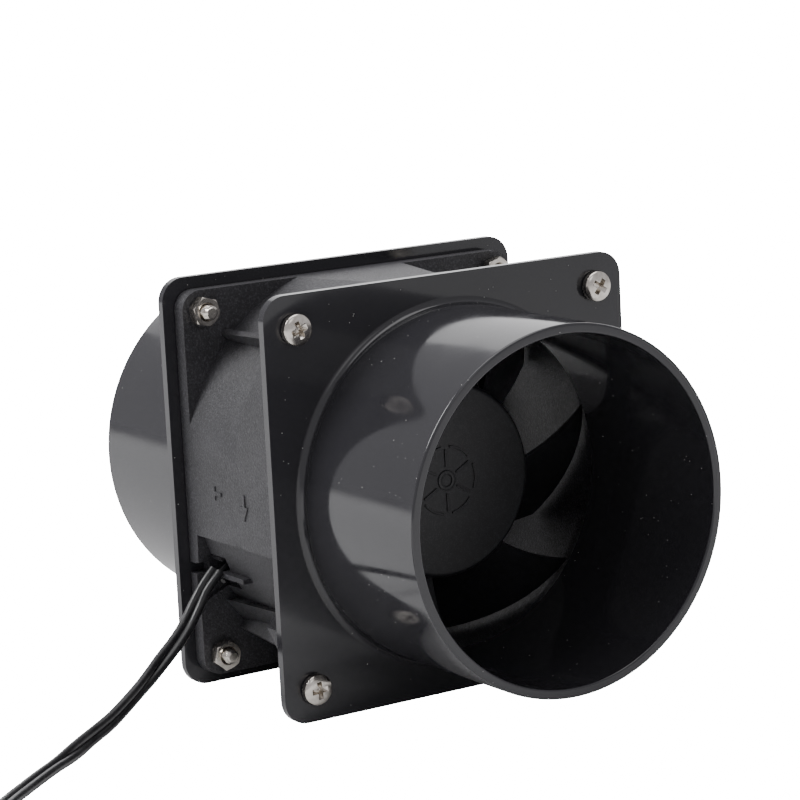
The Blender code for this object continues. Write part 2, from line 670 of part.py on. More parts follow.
def preload_spring(material):
    """Short coil spring between the hub's boss and the front bearing's inner race."""
    radius = SHAFT_RADIUS + FIT_GAP + SPRING_WIRE
    start = BOSS_BACK + FACE_GAP + SPRING_WIRE / 2
    end = FRONT_BEARING - FACE_GAP - SPRING_WIRE / 2
    turns_steps, wire_steps = 30, 6
    shape = bmesh.new()
    loops = []
    for step in range(turns_steps + 1):
        share = step / turns_steps
        angle = TAU * SPRING_TURNS * share
        out = Vector((math.cos(angle), 0, math.sin(angle)))
        centre = out * radius + Vector((0, start + (end - start) * share, 0))
        loop = []
        for corner in range(wire_steps):
            turn = TAU * corner / wire_steps
            offset = out * math.cos(turn) + Vector((0, 1, 0)) * math.sin(turn)
            loop.append(shape.verts.new(centre + offset * SPRING_WIRE / 2))
        loops.append(loop)
    for first, second in zip(loops, loops[1:]):
        for corner in range(wire_steps):
            after = (corner + 1) % wire_steps
            shape.faces.new((first[corner], first[after], second[after], second[corner]))
    shape.faces.new(loops[0])
    shape.faces.new(loops[-1])
    return place("preload_spring", shape, material)


def bearing(prefix, front, race_steel, cage_material):
    """Outer race, inner race, and the cage with its balls between them."""
    back = front + BEARING_WIDTH
    inner_bore = SHAFT_RADIUS + FIT_GAP
    inner_outside = inner_bore + RACE_WALL
    outer_inside = BEARING_RADIUS - RACE_WALL + FIT_GAP
    for name, inner, outer in (("outer", outer_inside, BEARING_RADIUS), ("inner", inner_bore, inner_outside)):
        on_axis(ring(f"{prefix}_bearing_{name}_race", inner, outer, front, back, race_steel, SMALL_STEPS))
    middle = (inner_outside + outer_inside) / 2
    centre = (front + back) / 2
    cage = ring(f"{prefix}_bearing_balls", middle - 0.2 * MM, middle + 0.2 * MM, centre - 0.25 * MM,
                centre + 0.25 * MM, cage_material, SMALL_STEPS)
    for index in range(BALL_COUNT):
        angle = TAU * index / BALL_COUNT
        shape = bmesh.new()
        bmesh.ops.create_icosphere(shape, subdivisions=1, radius=BALL_RADIUS * 0.9)
        spot = (middle * math.cos(angle), centre, middle * math.sin(angle))
        bmesh.ops.translate(shape, verts=shape.verts, vec=spot)
        join(cage, place("ball", shape))
    on_axis(tidy_shading(cage))


# ---------------------------------------------------------------- stator and electronics
def pole_outline(bore, ring_outside, stem, shoe_inside, shoe_outside, shoe_span):
    """Outline (x, z) of one quarter of the stator: ring arc, stem and shoe, symmetric about +X."""
    half_stem = stem / 2
    half_shoe = math.degrees(shoe_span / 2)
    root = math.degrees(math.asin(half_stem / ring_outside))
    neck = math.degrees(math.asin(half_stem / shoe_inside))
    quarter = 360 / POLE_COUNT / 2
    outline = arc((0, 0), ring_outside, -quarter, -root, 2)
    outline += arc((0, 0), shoe_inside, -neck, -half_shoe, 2)
    outline += arc((0, 0), shoe_outside, -half_shoe, half_shoe, 6)
    outline += arc((0, 0), shoe_inside, half_shoe, neck, 2)
    outline += arc((0, 0), ring_outside, root, quarter, 2)[:-1]
    return outline


def star(name, near, far, grow, material):
    """The stator's cross-section, grown sideways a little, extruded along Y, with the tube's bore."""
    ring_outside = CORE_BORE + CORE_RING + grow
    outline = []
    for index in range(POLE_COUNT):
        quarter = pole_outline(CORE_BORE, ring_outside, POLE_STEM + 2 * grow, CORE_RADIUS - POLE_SHOE - grow,
                               CORE_RADIUS - grow, POLE_SHOE_SPAN)
        turn = TAU * index / POLE_COUNT
        for x, z in quarter:
            outline.append((x * math.cos(turn) - z * math.sin(turn), x * math.sin(turn) + z * math.cos(turn)))
    body = prism(name, outline, near, far, material)
    return drill(body, 0, 0, CORE_BORE, near - MM, far + MM, SMALL_STEPS)


def winding(name, angle, front, back, material):
    """A coil round one pole: a rectangular loop of wire seen from outside as one solid ring."""
    inner_half = POLE_STEM / 2 + INSULATOR_OVERHANG + FACE_GAP
    outer_half = inner_half + COIL_THICKNESS
    near = CORE_BORE + CORE_RING + INSULATOR_OVERHANG + FACE_GAP
    shoe = CORE_RADIUS - POLE_SHOE - 2 * INSULATOR_OVERHANG - FACE_GAP
    far = math.sqrt(shoe ** 2 - outer_half ** 2)
    body = block(name, (near, front - COIL_THICKNESS, -outer_half), (far, back + COIL_THICKNESS, outer_half),
                 material)
    cut(body, block("core", (near - MM, front, -inner_half), (far + MM, back, inner_half)))
    return turn_about_axis(body, angle)


def stator(lamination, plastic, copper):
    """Laminated core, an insulator on each end of it, and a coil round each pole."""
    on_axis(tidy_shading(star("stator_core", CORE_FRONT, CORE_BACK, 0.0, lamination)))
    front, back = CORE_FRONT - FACE_GAP, CORE_BACK + FACE_GAP
    grow = INSULATOR_OVERHANG
    on_axis(tidy_shading(star("stator_insulator_front", front - INSULATOR_THICKNESS, front, grow, plastic)))
    on_axis(tidy_shading(star("stator_insulator_rear", back, back + INSULATOR_THICKNESS, grow, plastic)))
    for index in range(POLE_COUNT):
        angle = TAU * index / POLE_COUNT
        coil_front = front - INSULATOR_THICKNESS - FACE_GAP
        coil_back = back + INSULATOR_THICKNESS + FACE_GAP
        on_axis(tidy_shading(winding(f"winding_{index + 1}", angle, coil_front, coil_back, copper)))


def electronics(board_material, chip_material):
    """Ring-shaped board behind the stator, with the position sensor and the driver chip on its front."""
    outside = BASE_RADIUS - BASE_RIM - FACE_GAP
    on_axis(ring("circuit_board", CORE_BORE, outside, BOARD_FRONT, BOARD_BACK, board_material, INNER_STEPS))
    chip_back = BOARD_FRONT - FACE_GAP
    for name, inside, (depth, height, width), angle in (("hall_sensor", SENSOR_PLACE, SENSOR_SIZE, 45),
                                                        ("driver_chip", DRIVER_PLACE, DRIVER_SIZE, 135)):
        chip = block(name, (inside, chip_back - height, -width / 2), (inside + depth, chip_back, width / 2),
                     chip_material)
        on_axis(turn_about_axis(chip, math.radians(angle)))


def rear_label(material):
    """Blank foil disc that closes the bearing tube at the rear."""
    on_axis(rod("rear_label", LABEL_RADIUS, LABEL_FRONT, BASE_BACK, material, INNER_STEPS))


# ---------------------------------------------------------------- leads and cord
def smooth_route(points, spacing):
    """Read a Catmull-Rom curve through the points, one reading every spacing or so."""
    padded = [2 * points[0] - points[1]] + points + [2 * points[-1] - points[-2]]
    route = []
    for before, start, end, after in zip(padded, padded[1:], padded[2:], padded[3:]):
        steps = max(1, round((end - start).length / spacing))
        for step in range(steps):
            t = step / steps
            route.append(0.5 * (2 * start + (end - before) * t
                                + (2 * before - 5 * start + 4 * end - after) * t ** 2
                                + (3 * start - before - 3 * end + after) * t ** 3))
    return route + [points[-1]]


def tube(name, route, radius, material):
    """A round tube along a route, with filled ends."""
    curve = bpy.data.curves.new(name, "CURVE")
    curve.dimensions = "3D"
    curve.bevel_depth = radius
    curve.bevel_resolution = 2
    curve.use_fill_caps = True
    spline = curve.splines.new("POLY")
    spline.points.add(len(route) - 1)
    for point, place_ in zip(spline.points, route):
        point.co = (*place_, 1.0)
    thing = bpy.data.objects.new(name, curve)
    bpy.context.scene.collection.objects.link(thing)
    thing.data.materials.append(material)
    return thing


def inner_leads(material):
    """The two leads inside, from the circuit board along the channel strut to the window."""
    out = Vector((math.cos(CORD_SIDE_ANGLE), 0, math.sin(CORD_SIDE_ANGLE)))
    side = Vector((-out.z, 0, out.x))
    board_end = BOARD_BACK + FACE_GAP
    level = BASE_BACK - 1.2 * MM - LEAD_RADIUS - FACE_GAP
    window = EAR_INNER - WINDOW_DEPTH / 2
    stations = ((16.5 * MM, board_end), (17.6 * MM, (board_end + level) / 2), (20.0 * MM, level),
                (28.0 * MM, level), (THROAT_RADIUS - 3.0 * MM, level - MM),
                (THROAT_RADIUS + 0.5 * MM, window + 0.4 * MM),
                (THROAT_RADIUS + 3.5 * MM, window - 0.6 * MM))
    for name, sign in (("inner_lead_1", -1), ("inner_lead_2", 1)):
        start = Vector((0, 0, AXIS_HEIGHT)) + side * sign * (LEAD_RADIUS + FACE_GAP)
        points = [start + out * reach + Vector((0, y, 0)) for reach, y in stations]
        tube(name, smooth_route(points, POINT_SPACING * LEAD_RADIUS), LEAD_RADIUS, material)


def power_cord(material):
    """The lead from the window to the floor and the coil, and its tail from the coil to the plug."""
    for name, route in (("power_cord", CORD_ROUTE), ("power_cord_tail", TAIL_ROUTE)):
        points = [Vector(point) * MM for point in route]
        tube(name, smooth_route(points, POINT_SPACING * CORD_RADIUS), CORD_RADIUS, material)


def cord_coil(material):
    """The wound length as one turned ring lying on the floor, its axis along Z."""
    bottom = TIE_THICKNESS + FACE_GAP
    half = COIL_WIDTH / 2
    round_ = 1.5 * MM
    near, far = COIL_RADIUS - half + round_, COIL_RADIUS + half - round_
    low, high = bottom + round_, bottom + COIL_HEIGHT - round_
    outline = []
    for radius, height, start in ((near, low, 180), (far, low, 270), (far, high, 0), (near, high, 90)):
        outline += arc((radius, height), round_, start, start + 90, 2)
    coil = turned("power_cord_coil", outline, material, INNER_STEPS)
    coil.data.transform(Matrix.Rotation(math.pi / 2, 4, "X"))
    coil.location = COIL_CENTRE


def cord_tie(material):
    """Flat band round the coil's section that keeps the turns together."""
    inside_low = TIE_THICKNESS
    inside_high = TIE_THICKNESS + COIL_HEIGHT + 2 * FACE_GAP
    half = COIL_WIDTH / 2 + FACE_GAP
    body = block("cord_tie", (COIL_RADIUS - half - TIE_THICKNESS, -TIE_WIDTH / 2, 0.0),
                 (COIL_RADIUS + half + TIE_THICKNESS, TIE_WIDTH / 2, inside_high + TIE_THICKNESS), material)
    cut(body, block("inside", (COIL_RADIUS - half, -TIE_WIDTH, inside_low),
                    (COIL_RADIUS + half, TIE_WIDTH, inside_high)))
    body.location = COIL_CENTRE
    body.rotation_euler = (0, 0, TIE_ANGLE)


def plug(rubber, metal, insulator):
    """Barrel plug lying beside the coil: moulded grip with its strain relief, sleeve and insulator."""
    relief_end = PLUG_RELIEF
    grip = [(0, 0), (CORD_RADIUS * 1.6, 0), (CORD_RADIUS * 2.1, relief_end),
            (PLUG_RADIUS * 0.8, relief_end + 1.5 * MM), (PLUG_RADIUS, relief_end + 4 * MM),
            (PLUG_RADIUS, relief_end + PLUG_LENGTH - MM),
            (PLUG_RADIUS - MM, relief_end + PLUG_LENGTH), (0, relief_end + PLUG_LENGTH)]
    start = Vector(PLUG_START)
    start.z = PLUG_RADIUS
    end = relief_end + PLUG_LENGTH + FACE_GAP
    pieces = [turned("plug_body", grip, rubber, SMALL_STEPS)]
    inner = SLEEVE_RADIUS - SLEEVE_WALL
    pieces.append(ring("plug_sleeve", inner, SLEEVE_RADIUS, end, end + SLEEVE_LENGTH, metal, SMALL_STEPS))
    core = inner - FACE_GAP
    pieces.append(ring("plug_insulator", core - 0.9 * MM, core, end, end + SLEEVE_LENGTH - 0.4 * MM,
                       insulator, SMALL_STEPS))
    for piece in pieces:
        piece.location = start


# ---------------------------------------------------------------- the whole fan
def build():
    clear_scene()
    gloss_black = finish("gloss_black_plastic", (0.012, 0.012, 0.014), 0.16)
    matte_black = finish("matte_black_plastic", (0.030, 0.030, 0.033), 0.55)
    hub_black = finish("impeller_black_plastic", (0.020, 0.020, 0.022), 0.45)
    nickel = finish("nickel_plated_steel", (0.72, 0.69, 0.64), 0.22, 1.0)
    steel = finish("bright_steel", (0.62, 0.62, 0.64), 0.25, 1.0)
    lamination = finish("silicon_steel", (0.34, 0.34, 0.36), 0.45, 1.0)
    magnet = finish("ferrite_magnet", (0.06, 0.055, 0.055), 0.7)
    copper = finish("enamelled_copper", (0.60, 0.22, 0.08), 0.3, 1.0)
    nylon = finish("white_nylon", (0.78, 0.77, 0.72), 0.5)
    board = finish("green_board", (0.03, 0.16, 0.07), 0.4)
    chip = finish("chip_black", (0.02, 0.02, 0.02), 0.5)
    foil = finish("plain_foil", (0.55, 0.56, 0.58), 0.3, 1.0)
    cord = finish("cord_black_pvc", (0.018, 0.018, 0.020), 0.38)
    brass = finish("cage_brass", (0.66, 0.50, 0.24), 0.3, 1.0)

    duct_collars(gloss_black)
    fasteners(nickel)
    fan_housing(matte_black)
    impeller(hub_black)
    rotor_parts(steel, magnet, steel)
    bearing("front", FRONT_BEARING, steel, brass)
    bearing("rear", REAR_BEARING, steel, brass)
    stator(lamination, nylon, copper)
    electronics(board, chip)
    rear_label(foil)
    inner_leads(cord)
    power_cord(cord)
    cord_coil(cord)
    cord_tie(cord)
    plug(cord, nickel, chip)


build()
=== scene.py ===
# %% [markdown]
# # Dressing an inline duct fan
# An inline duct fan is an ordinary square axial fan with a flanged collar bolted to each face, so that
# round duct can be pushed onto both ends. The working model already exists: every part with its real
# size, and the joints that let the rotor spin. This notebook leaves those sizes alone and gives each
# part its finished shape and surface.
#
# We work in metres, with the fan's axis along Y and the intake towards -Y.

# %% Open the working model
import math

import bmesh
import bpy
from mathutils import Matrix, Vector


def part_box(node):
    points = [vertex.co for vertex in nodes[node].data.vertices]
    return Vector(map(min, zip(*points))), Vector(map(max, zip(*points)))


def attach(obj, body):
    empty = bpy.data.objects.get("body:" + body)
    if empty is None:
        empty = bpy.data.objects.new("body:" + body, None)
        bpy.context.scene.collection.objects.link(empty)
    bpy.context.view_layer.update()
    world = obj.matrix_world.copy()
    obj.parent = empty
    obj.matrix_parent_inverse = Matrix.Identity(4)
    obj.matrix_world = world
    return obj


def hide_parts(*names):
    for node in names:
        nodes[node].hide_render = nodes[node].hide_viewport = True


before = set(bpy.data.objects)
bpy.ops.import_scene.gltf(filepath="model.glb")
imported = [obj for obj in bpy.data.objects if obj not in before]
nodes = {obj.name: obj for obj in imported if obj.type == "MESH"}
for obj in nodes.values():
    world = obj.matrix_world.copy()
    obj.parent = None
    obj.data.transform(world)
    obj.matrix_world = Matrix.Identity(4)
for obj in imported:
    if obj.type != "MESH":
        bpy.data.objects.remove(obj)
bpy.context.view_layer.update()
MM = 0.001
TAU = 2 * math.pi

# %% [markdown]
# ## Sizes we can read from the model
# Numbers typed twice go wrong twice. The collar's node already knows where its plate is and how far the
# mouth reaches, so the important sizes are read back from the model's boxes.

# %% Read the driving sizes
collar_low, collar_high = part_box("front_duct_collar")
housing_low, housing_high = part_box("fan_housing")
PLATE_SIDE = collar_high.x - collar_low.x
AXIS = Vector((0.0, 0.0, (collar_low.z + collar_high.z) / 2))
PLATE_INNER = -collar_high.y
MOUTH = -collar_low.y
FAN_SIDE = housing_high.x - housing_low.x
FAN_FACE = housing_high.y
PLATE_THICKNESS = 1.8 * MM
HOLE_SPACING = 71.5 * MM
BOLT_HOLE = 1.8 * MM
print("plate", round(PLATE_SIDE / MM, 1), "mm, mouth at", round(MOUTH / MM, 1), "mm from the middle")

# %% [markdown]
# ## The camera
# The fan is seen from its intake side, a little from the left and a little from above, through a long
# lens that keeps the plates' edges almost parallel. The camera is described the way a photographer
# would: how far round, how high, how much it leans, and how far away it stands. From those four numbers
# we build its three axes, which is steadier than aiming by eye.

# %% Place the camera
CAMERA_DISTANCE = 0.642
CAMERA_RAISE = 0.0141
azimuth, elevation, lean = (math.radians(angle) for angle in (-32.24, 10.07, -2.96))
back = Vector((math.sin(azimuth) * math.cos(elevation), -math.cos(azimuth) * math.cos(elevation),
               math.sin(elevation)))
level = Vector((math.cos(azimuth), math.sin(azimuth), 0.0))
upright = back.cross(level)
right = math.cos(lean) * level + math.sin(lean) * upright
up = -math.sin(lean) * level + math.cos(lean) * upright
camera = bpy.data.objects.new("camera", bpy.data.cameras.new("camera"))
bpy.context.scene.collection.objects.link(camera)
camera.matrix_world = Matrix((right, up, back)).transposed().to_4x4()
camera.location = AXIS + back * CAMERA_DISTANCE + up * CAMERA_RAISE
camera.data.lens = 140.14
camera.data.sensor_width = 36.0
camera.data.clip_start = 0.05
bpy.context.scene.camera = camera
print("camera at", [round(c, 3) for c in camera.location])

# %% [markdown]
# ## Small tools for making meshes
# Nearly every part here is either turned, like a collar, or cut from a flat outline, like a plate. So we
# write those two once. `turned` spins an outline of (radius, y) points about the fan's axis, `prism`
# pushes an outline of (x, z) points along it. The spin leaves its first and last rings on top of each
# other and may leave faces looking inwards, so both end by merging doubles and recalculating normals.

# %% Turned and extruded shapes
MERGE = 1e-7


def placed(name, shape):
    """A finished bmesh becomes an object at the origin, its place in its mesh."""
    bmesh.ops.remove_doubles(shape, verts=shape.verts, dist=MERGE)
    bmesh.ops.recalc_face_normals(shape, faces=shape.faces)
    mesh = bpy.data.meshes.new(name)
    shape.to_mesh(mesh)
    shape.free()
    thing = bpy.data.objects.new(name, mesh)
    bpy.context.scene.collection.objects.link(thing)
    return thing


def turned(name, outline, steps=160):
    """Spin (radius, y) points about Y; the outline closes on itself unless it starts on the axis."""
    shape = bmesh.new()
    points = [shape.verts.new((radius, y, 0.0)) for radius, y in outline]
    edges = [shape.edges.new(pair) for pair in zip(points, points[1:])]
    if outline[0][0] > 0:
        edges.append(shape.edges.new((points[-1], points[0])))
    bmesh.ops.spin(shape, geom=points + edges, cent=(0, 0, 0), axis=(0, 1, 0), angle=TAU, steps=steps,
                   use_merge=True)
    return placed(name, shape)


def extruded(name, corners, push):
    """A flat outline of 3D corners, pushed along a vector."""
    shape = bmesh.new()
    face = shape.faces.new([shape.verts.new(corner) for corner in corners])
    lid = bmesh.ops.extrude_face_region(shape, geom=[face])
    far_corners = [item for item in lid["geom"] if isinstance(item, bmesh.types.BMVert)]
    bmesh.ops.translate(shape, verts=far_corners, vec=push)
    return placed(name, shape)


def prism(name, outline, near, far):
    return extruded(name, [(x, near, z) for x, z in outline], (0, far - near, 0))


def box(name, low, high):
    (x0, y0, z0), (x1, y1, z1) = low, high
    return prism(name, [(x0, z0), (x1, z0), (x1, z1), (x0, z1)], y0, y1)


def ring(name, inner, outer, near, far, steps=96):
    return turned(name, [(inner, near), (outer, near), (outer, far), (inner, far)], steps)


def arc(centre, radius, start, end, steps):
    """Points along an arc, angles in degrees."""
    angles = [math.radians(start + (end - start) * step / steps) for step in range(steps + 1)]
    return [(centre[0] + radius * math.cos(a), centre[1] + radius * math.sin(a)) for a in angles]


def rounded_square(side, corner, steps=10):
    """Outline of a square with round corners."""
    reach = side / 2 - corner
    middles = ((reach, reach), (-reach, reach), (-reach, -reach), (reach, -reach))
    return [point for index, middle in enumerate(middles)
            for point in arc(middle, corner, 90 * index, 90 * index + 90, steps)]


print("shape tools ready")

# %% [markdown]
# Drilling and joining are Booleans. The exact solver wants closed shapes, and it is quickest when many
# cutters are joined into one object first. `about_axis` turns a shape round the fan's axis, `moved` shifts
# it, and `baked` replaces a piece's mesh by what its modifiers make of it.

# %% Booleans and moves
def baked(thing):
    """Apply every modifier by evaluating the object."""
    bpy.context.view_layer.update()
    evaluated = thing.evaluated_get(bpy.context.evaluated_depsgraph_get())
    mesh = bpy.data.meshes.new_from_object(evaluated)
    thing.modifiers.clear()
    thing.data = mesh
    return thing


def about_axis(thing, angle):
    """Turn a mesh about Y; a positive angle lifts +X towards +Z."""
    thing.data.transform(Matrix.Rotation(-angle, 4, "Y"))
    return thing


def moved(thing, offset):
    thing.data.transform(Matrix.Translation(offset))
    return thing


def gathered(name, things):
    """Several objects' meshes in one object."""
    shape = bmesh.new()
    for thing in things:
        shape.from_mesh(thing.data)
        bpy.data.objects.remove(thing, do_unlink=True)
    mesh = bpy.data.meshes.new(name)
    shape.to_mesh(mesh)
    shape.free()
    whole = bpy.data.objects.new(name, mesh)
    bpy.context.scene.collection.objects.link(whole)
    return whole


def combined(target, tool, operation):
    """Join, cut or intersect the target with a tool, weld what falls together, and drop the tool."""
    modifier = target.modifiers.new("shape", "BOOLEAN")
    modifier.operation, modifier.object = operation, tool
    modifier.solver = "EXACT"
    baked(target)
    shape = bmesh.new()
    shape.from_mesh(target.data)
    bmesh.ops.remove_doubles(shape, verts=shape.verts, dist=MERGE)
    shape.to_mesh(target.data)
    shape.free()
    bpy.data.objects.remove(tool, do_unlink=True)
    return target


def softened(thing, width, segments=2, angle=40):
    """Round the edges sharper than an angle a little and shade the rest smooth, as a mould leaves them."""
    bevel = thing.modifiers.new("edges", "BEVEL")
    bevel.width, bevel.segments = width, segments
    bevel.limit_method, bevel.angle_limit = "ANGLE", math.radians(angle)
    return smooth(baked(thing), angle)


def smooth(thing, angle=38):
    """Smooth shading whose normals lean on the large faces, so that flats stay flat beside a bevel."""
    thing.data.shade_smooth()
    thing.data.set_sharp_from_angle(angle=math.radians(angle))
    weighted = thing.modifiers.new("normals", "WEIGHTED_NORMAL")
    weighted.keep_sharp, weighted.weight = True, 90
    return baked(thing)


print("cutting tools ready")

# %% [markdown]
# ## The lead
# A small brushless fan has a flat twin lead: two thin insulated wires side by side in one skin. It bends
# easily only across its thin side, so on its way down it rolls from flat to on-edge and back. The unused
# length is wound up and tied. We place it first, because its coil decides how much room the whole thing
# takes. The route is a short list of points in millimetres, joined by a smooth curve. The coil is counted
# out turn by turn: four turns on edge beside each other, then three more on top of them.

# %% Route of the lead
LEAD_WIDTH = 3.5 * MM
LEAD_THICKNESS = 1.8 * MM
lead_points = [
    (-38.0, 11.6, 25.4), (-40.6, 11.3, 23.0), (-42.6, 11.4, 20.2), (-46.0, 10.3, 16.2), (-50.0, 8.3, 13.3),
    (-55.0, 5.9, 10.5), (-60.0, 3.2, 8.0), (-66.0, 0.3, 5.2), (-71.5, -2.5, 3.1),
    (-77.5, -5.6, 1.7), (-86.2, -12.5, 1.0), (-94.2, -19.1, 1.0), (-101.0, -25.0, 1.0),
    (-107.0, -30.7, 1.2), (-112.2, -36.6, 1.6), (-116.8, -42.2, 1.85), (-121.5, -46.8, 1.85),
]
COIL_CENTRE = Vector((-136.0 * MM, -27.0 * MM, 0.0))
COIL_RADIUS = 19.0 * MM
TURNS_BELOW, TURNS_ABOVE = 4, 3
POINTS_A_TURN = 40
PITCHES_BELOW, PITCHES_ABOVE = 3, 2.2
LOOSENESS = 0.06 * MM
HUMP_HEIGHT, HUMP_SPREAD = 0.55 * MM, 0.22
TIE_ANGLE = math.radians(25)


def smooth_route(points, spacing):
    """A Catmull-Rom curve through the points, read every spacing or so."""
    padded = [2 * points[0] - points[1]] + points + [2 * points[-1] - points[-2]]
    route = []
    for before, start, end, after in zip(padded, padded[1:], padded[2:], padded[3:]):
        steps = max(1, round((end - start).length / spacing))
        for step in range(steps):
            t = step / steps
            route.append(0.5 * (2 * start + (end - before) * t
                                + (2 * before - 5 * start + 4 * end - after) * t ** 2
                                + (3 * start - before - 3 * end + after) * t ** 3))
    return route + [points[-1]]


def coil_points():
    """Turns from the outside in, then a second layer from the inside out; a low hump passes the tie."""
    pitch = LEAD_THICKNESS + LOOSENESS
    outer = COIL_RADIUS + PITCHES_BELOW / 2 * pitch
    arrives = Vector(lead_points[-1]) * MM - COIL_CENTRE
    start = math.atan2(arrives.y, arrives.x) - math.radians(14)
    points = []
    for step in range((TURNS_BELOW + TURNS_ABOVE) * POINTS_A_TURN + 1):
        turn = step / POINTS_A_TURN
        angle = start - TAU * turn
        if turn < TURNS_BELOW:
            radius = outer - pitch * turn * PITCHES_BELOW / TURNS_BELOW
        else:
            out_again = 0.3 + (turn - TURNS_BELOW) * PITCHES_ABOVE / TURNS_ABOVE
            radius = outer - pitch * (PITCHES_BELOW - out_again)
        climb = min(max((turn - TURNS_BELOW + 0.15) / 0.3, 0.0), 1.0)
        height = LEAD_WIDTH * (0.5 + climb * climb * (3 - 2 * climb)) + LOOSENESS
        height += HUMP_HEIGHT * math.exp(-(math.remainder(angle - TIE_ANGLE, TAU) / HUMP_SPREAD) ** 2)
        points.append(COIL_CENTRE + Vector((radius * math.cos(angle), radius * math.sin(angle), height)))
    return points


route = smooth_route([Vector(point) * MM for point in lead_points], 1.6 * MM)
route_ends = len(route)
turns = coil_points()
print("first turn is", round((turns[0] - route[-1]).length / MM, 1), "mm from the end of the route")

# %% [markdown]
# The tail leaves the coil's top layer, slides down its outside and rises again into the plug. Each point
# also gets a roll: 0 where the lead lies flat, 1 where it stands on edge.

# %% Sweep the lead's section along its route
TAIL_RADIUS = 24.15 * MM
ARRIVAL = math.pi + 0.05
last_angle = math.atan2(turns[-1].y - COIL_CENTRE.y, turns[-1].x - COIL_CENTRE.x)
while last_angle < ARRIVAL:
    last_angle += TAU
sweep = (last_angle - ARRIVAL) % TAU
tail = []
tail_steps = max(8, int(sweep / TAU * POINTS_A_TURN))
start_radius = (turns[-1] - COIL_CENTRE).to_2d().length
for step in range(1, tail_steps + 1):
    share = step / tail_steps
    angle = last_angle - sweep * share
    ease = share * share * (3 - 2 * share)
    radius = start_radius + (TAIL_RADIUS - start_radius) * ease
    height = turns[-1].z + (LEAD_WIDTH / 2 + 0.1 * MM - turns[-1].z) * ease
    tail.append(COIL_CENTRE + Vector((radius * math.cos(angle), radius * math.sin(angle), height)))
plug_low, plug_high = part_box("plug_body")
PLUG_AXIS = Vector(((plug_low.x + plug_high.x) / 2, plug_low.y, (plug_low.z + plug_high.z) / 2))
closing = [tail[-1], Vector((-160.2, -22.0, 1.9)) * MM, Vector((-160.2, -15.0, 3.3)) * MM,
           PLUG_AXIS + Vector((0, 1.5 * MM, 0))]
lead_path = route + smooth_route([route[-1], turns[0]], 2 * MM)[1:-1] + turns + tail
lead_path += smooth_route(closing, 1.6 * MM)[1:]
length = sum((b - a).length for a, b in zip(lead_path, lead_path[1:]))


def roll_at(index):
    """How far the lead has rolled from flat (0) to on edge (1); past the route it stays on edge."""
    share = index / route_ends
    marks = ((0.0, 0.25), (0.12, 0.25), (0.3, 1.0), (0.42, 0.9), (0.6, 0.05), (0.86, 0.0), (1.0, 1.0))
    for (a, low), (b, high) in zip(marks, marks[1:]):
        if share <= b:
            t = (share - a) / (b - a)
            return low + (high - low) * t * t * (3 - 2 * t)
    return 1.0


def twin_section():
    """Outline of the twin lead: two round wires whose skins run together."""
    wire = LEAD_THICKNESS / 2
    apart = (LEAD_WIDTH - LEAD_THICKNESS) / 2
    angles = (-158, -128, -98, -72, -50, -30, -10, 10, 30, 50, 72, 98, 128, 158)
    right_side = [(apart + wire * math.cos(a), wire * math.sin(a)) for a in map(math.radians, angles)]
    return right_side + [(-x, -y) for x, y in right_side]


def swept(name, path, section, rolls):
    """Carry a closed section along a path, its first axis sideways when the roll is 0."""
    shape = bmesh.new()
    loops = []
    for index, point in enumerate(path):
        ahead = path[min(index + 1, len(path) - 1)] - path[max(index - 1, 0)]
        ahead.normalize()
        side = ahead.cross(Vector((0, 0, 1))).normalized()
        above = side.cross(ahead)
        turn = rolls(index) * math.pi / 2
        wide = side * math.cos(turn) + above * math.sin(turn)
        thin = -side * math.sin(turn) + above * math.cos(turn)
        loops.append([shape.verts.new(point + wide * u + thin * v) for u, v in section])
    for first, second in zip(loops, loops[1:]):
        for k in range(len(section)):
            after = (k + 1) % len(section)
            shape.faces.new((first[k], first[after], second[after], second[k]))
    shape.faces.new(loops[0])
    shape.faces.new(loops[-1])
    return smooth(placed(name, shape), 60)


lead = swept("twin_lead", lead_path, twin_section(), roll_at)
print("lead is", round(length, 3), "m long with", len(lead_path), "points along it")

# %% [markdown]
# The tie is a flat strip bent round the wound turns. Its section is two rounded rectangles, one inside
# the other, which we place at both edges of the strip and join with faces.

# %% Tie band
def strip_section(low_corner, high_corner, corner, thickness):
    """Two nested rounded rectangles, as outer and inner loops of (across, height)."""
    def loop(grow, radius):
        inset = radius - grow
        (a0, b0), (a1, b1) = low_corner, high_corner
        a0, b0, a1, b1 = a0 + inset, b0 + inset, a1 - inset, b1 - inset
        corners = ((a1, b1, 0), (a0, b1, 90), (a0, b0, 180), (a1, b0, 270))
        return [point for a, b, start in corners for point in arc((a, b), radius, start, start + 90, 6)]
    return loop(thickness, corner + thickness), loop(0.0, corner)


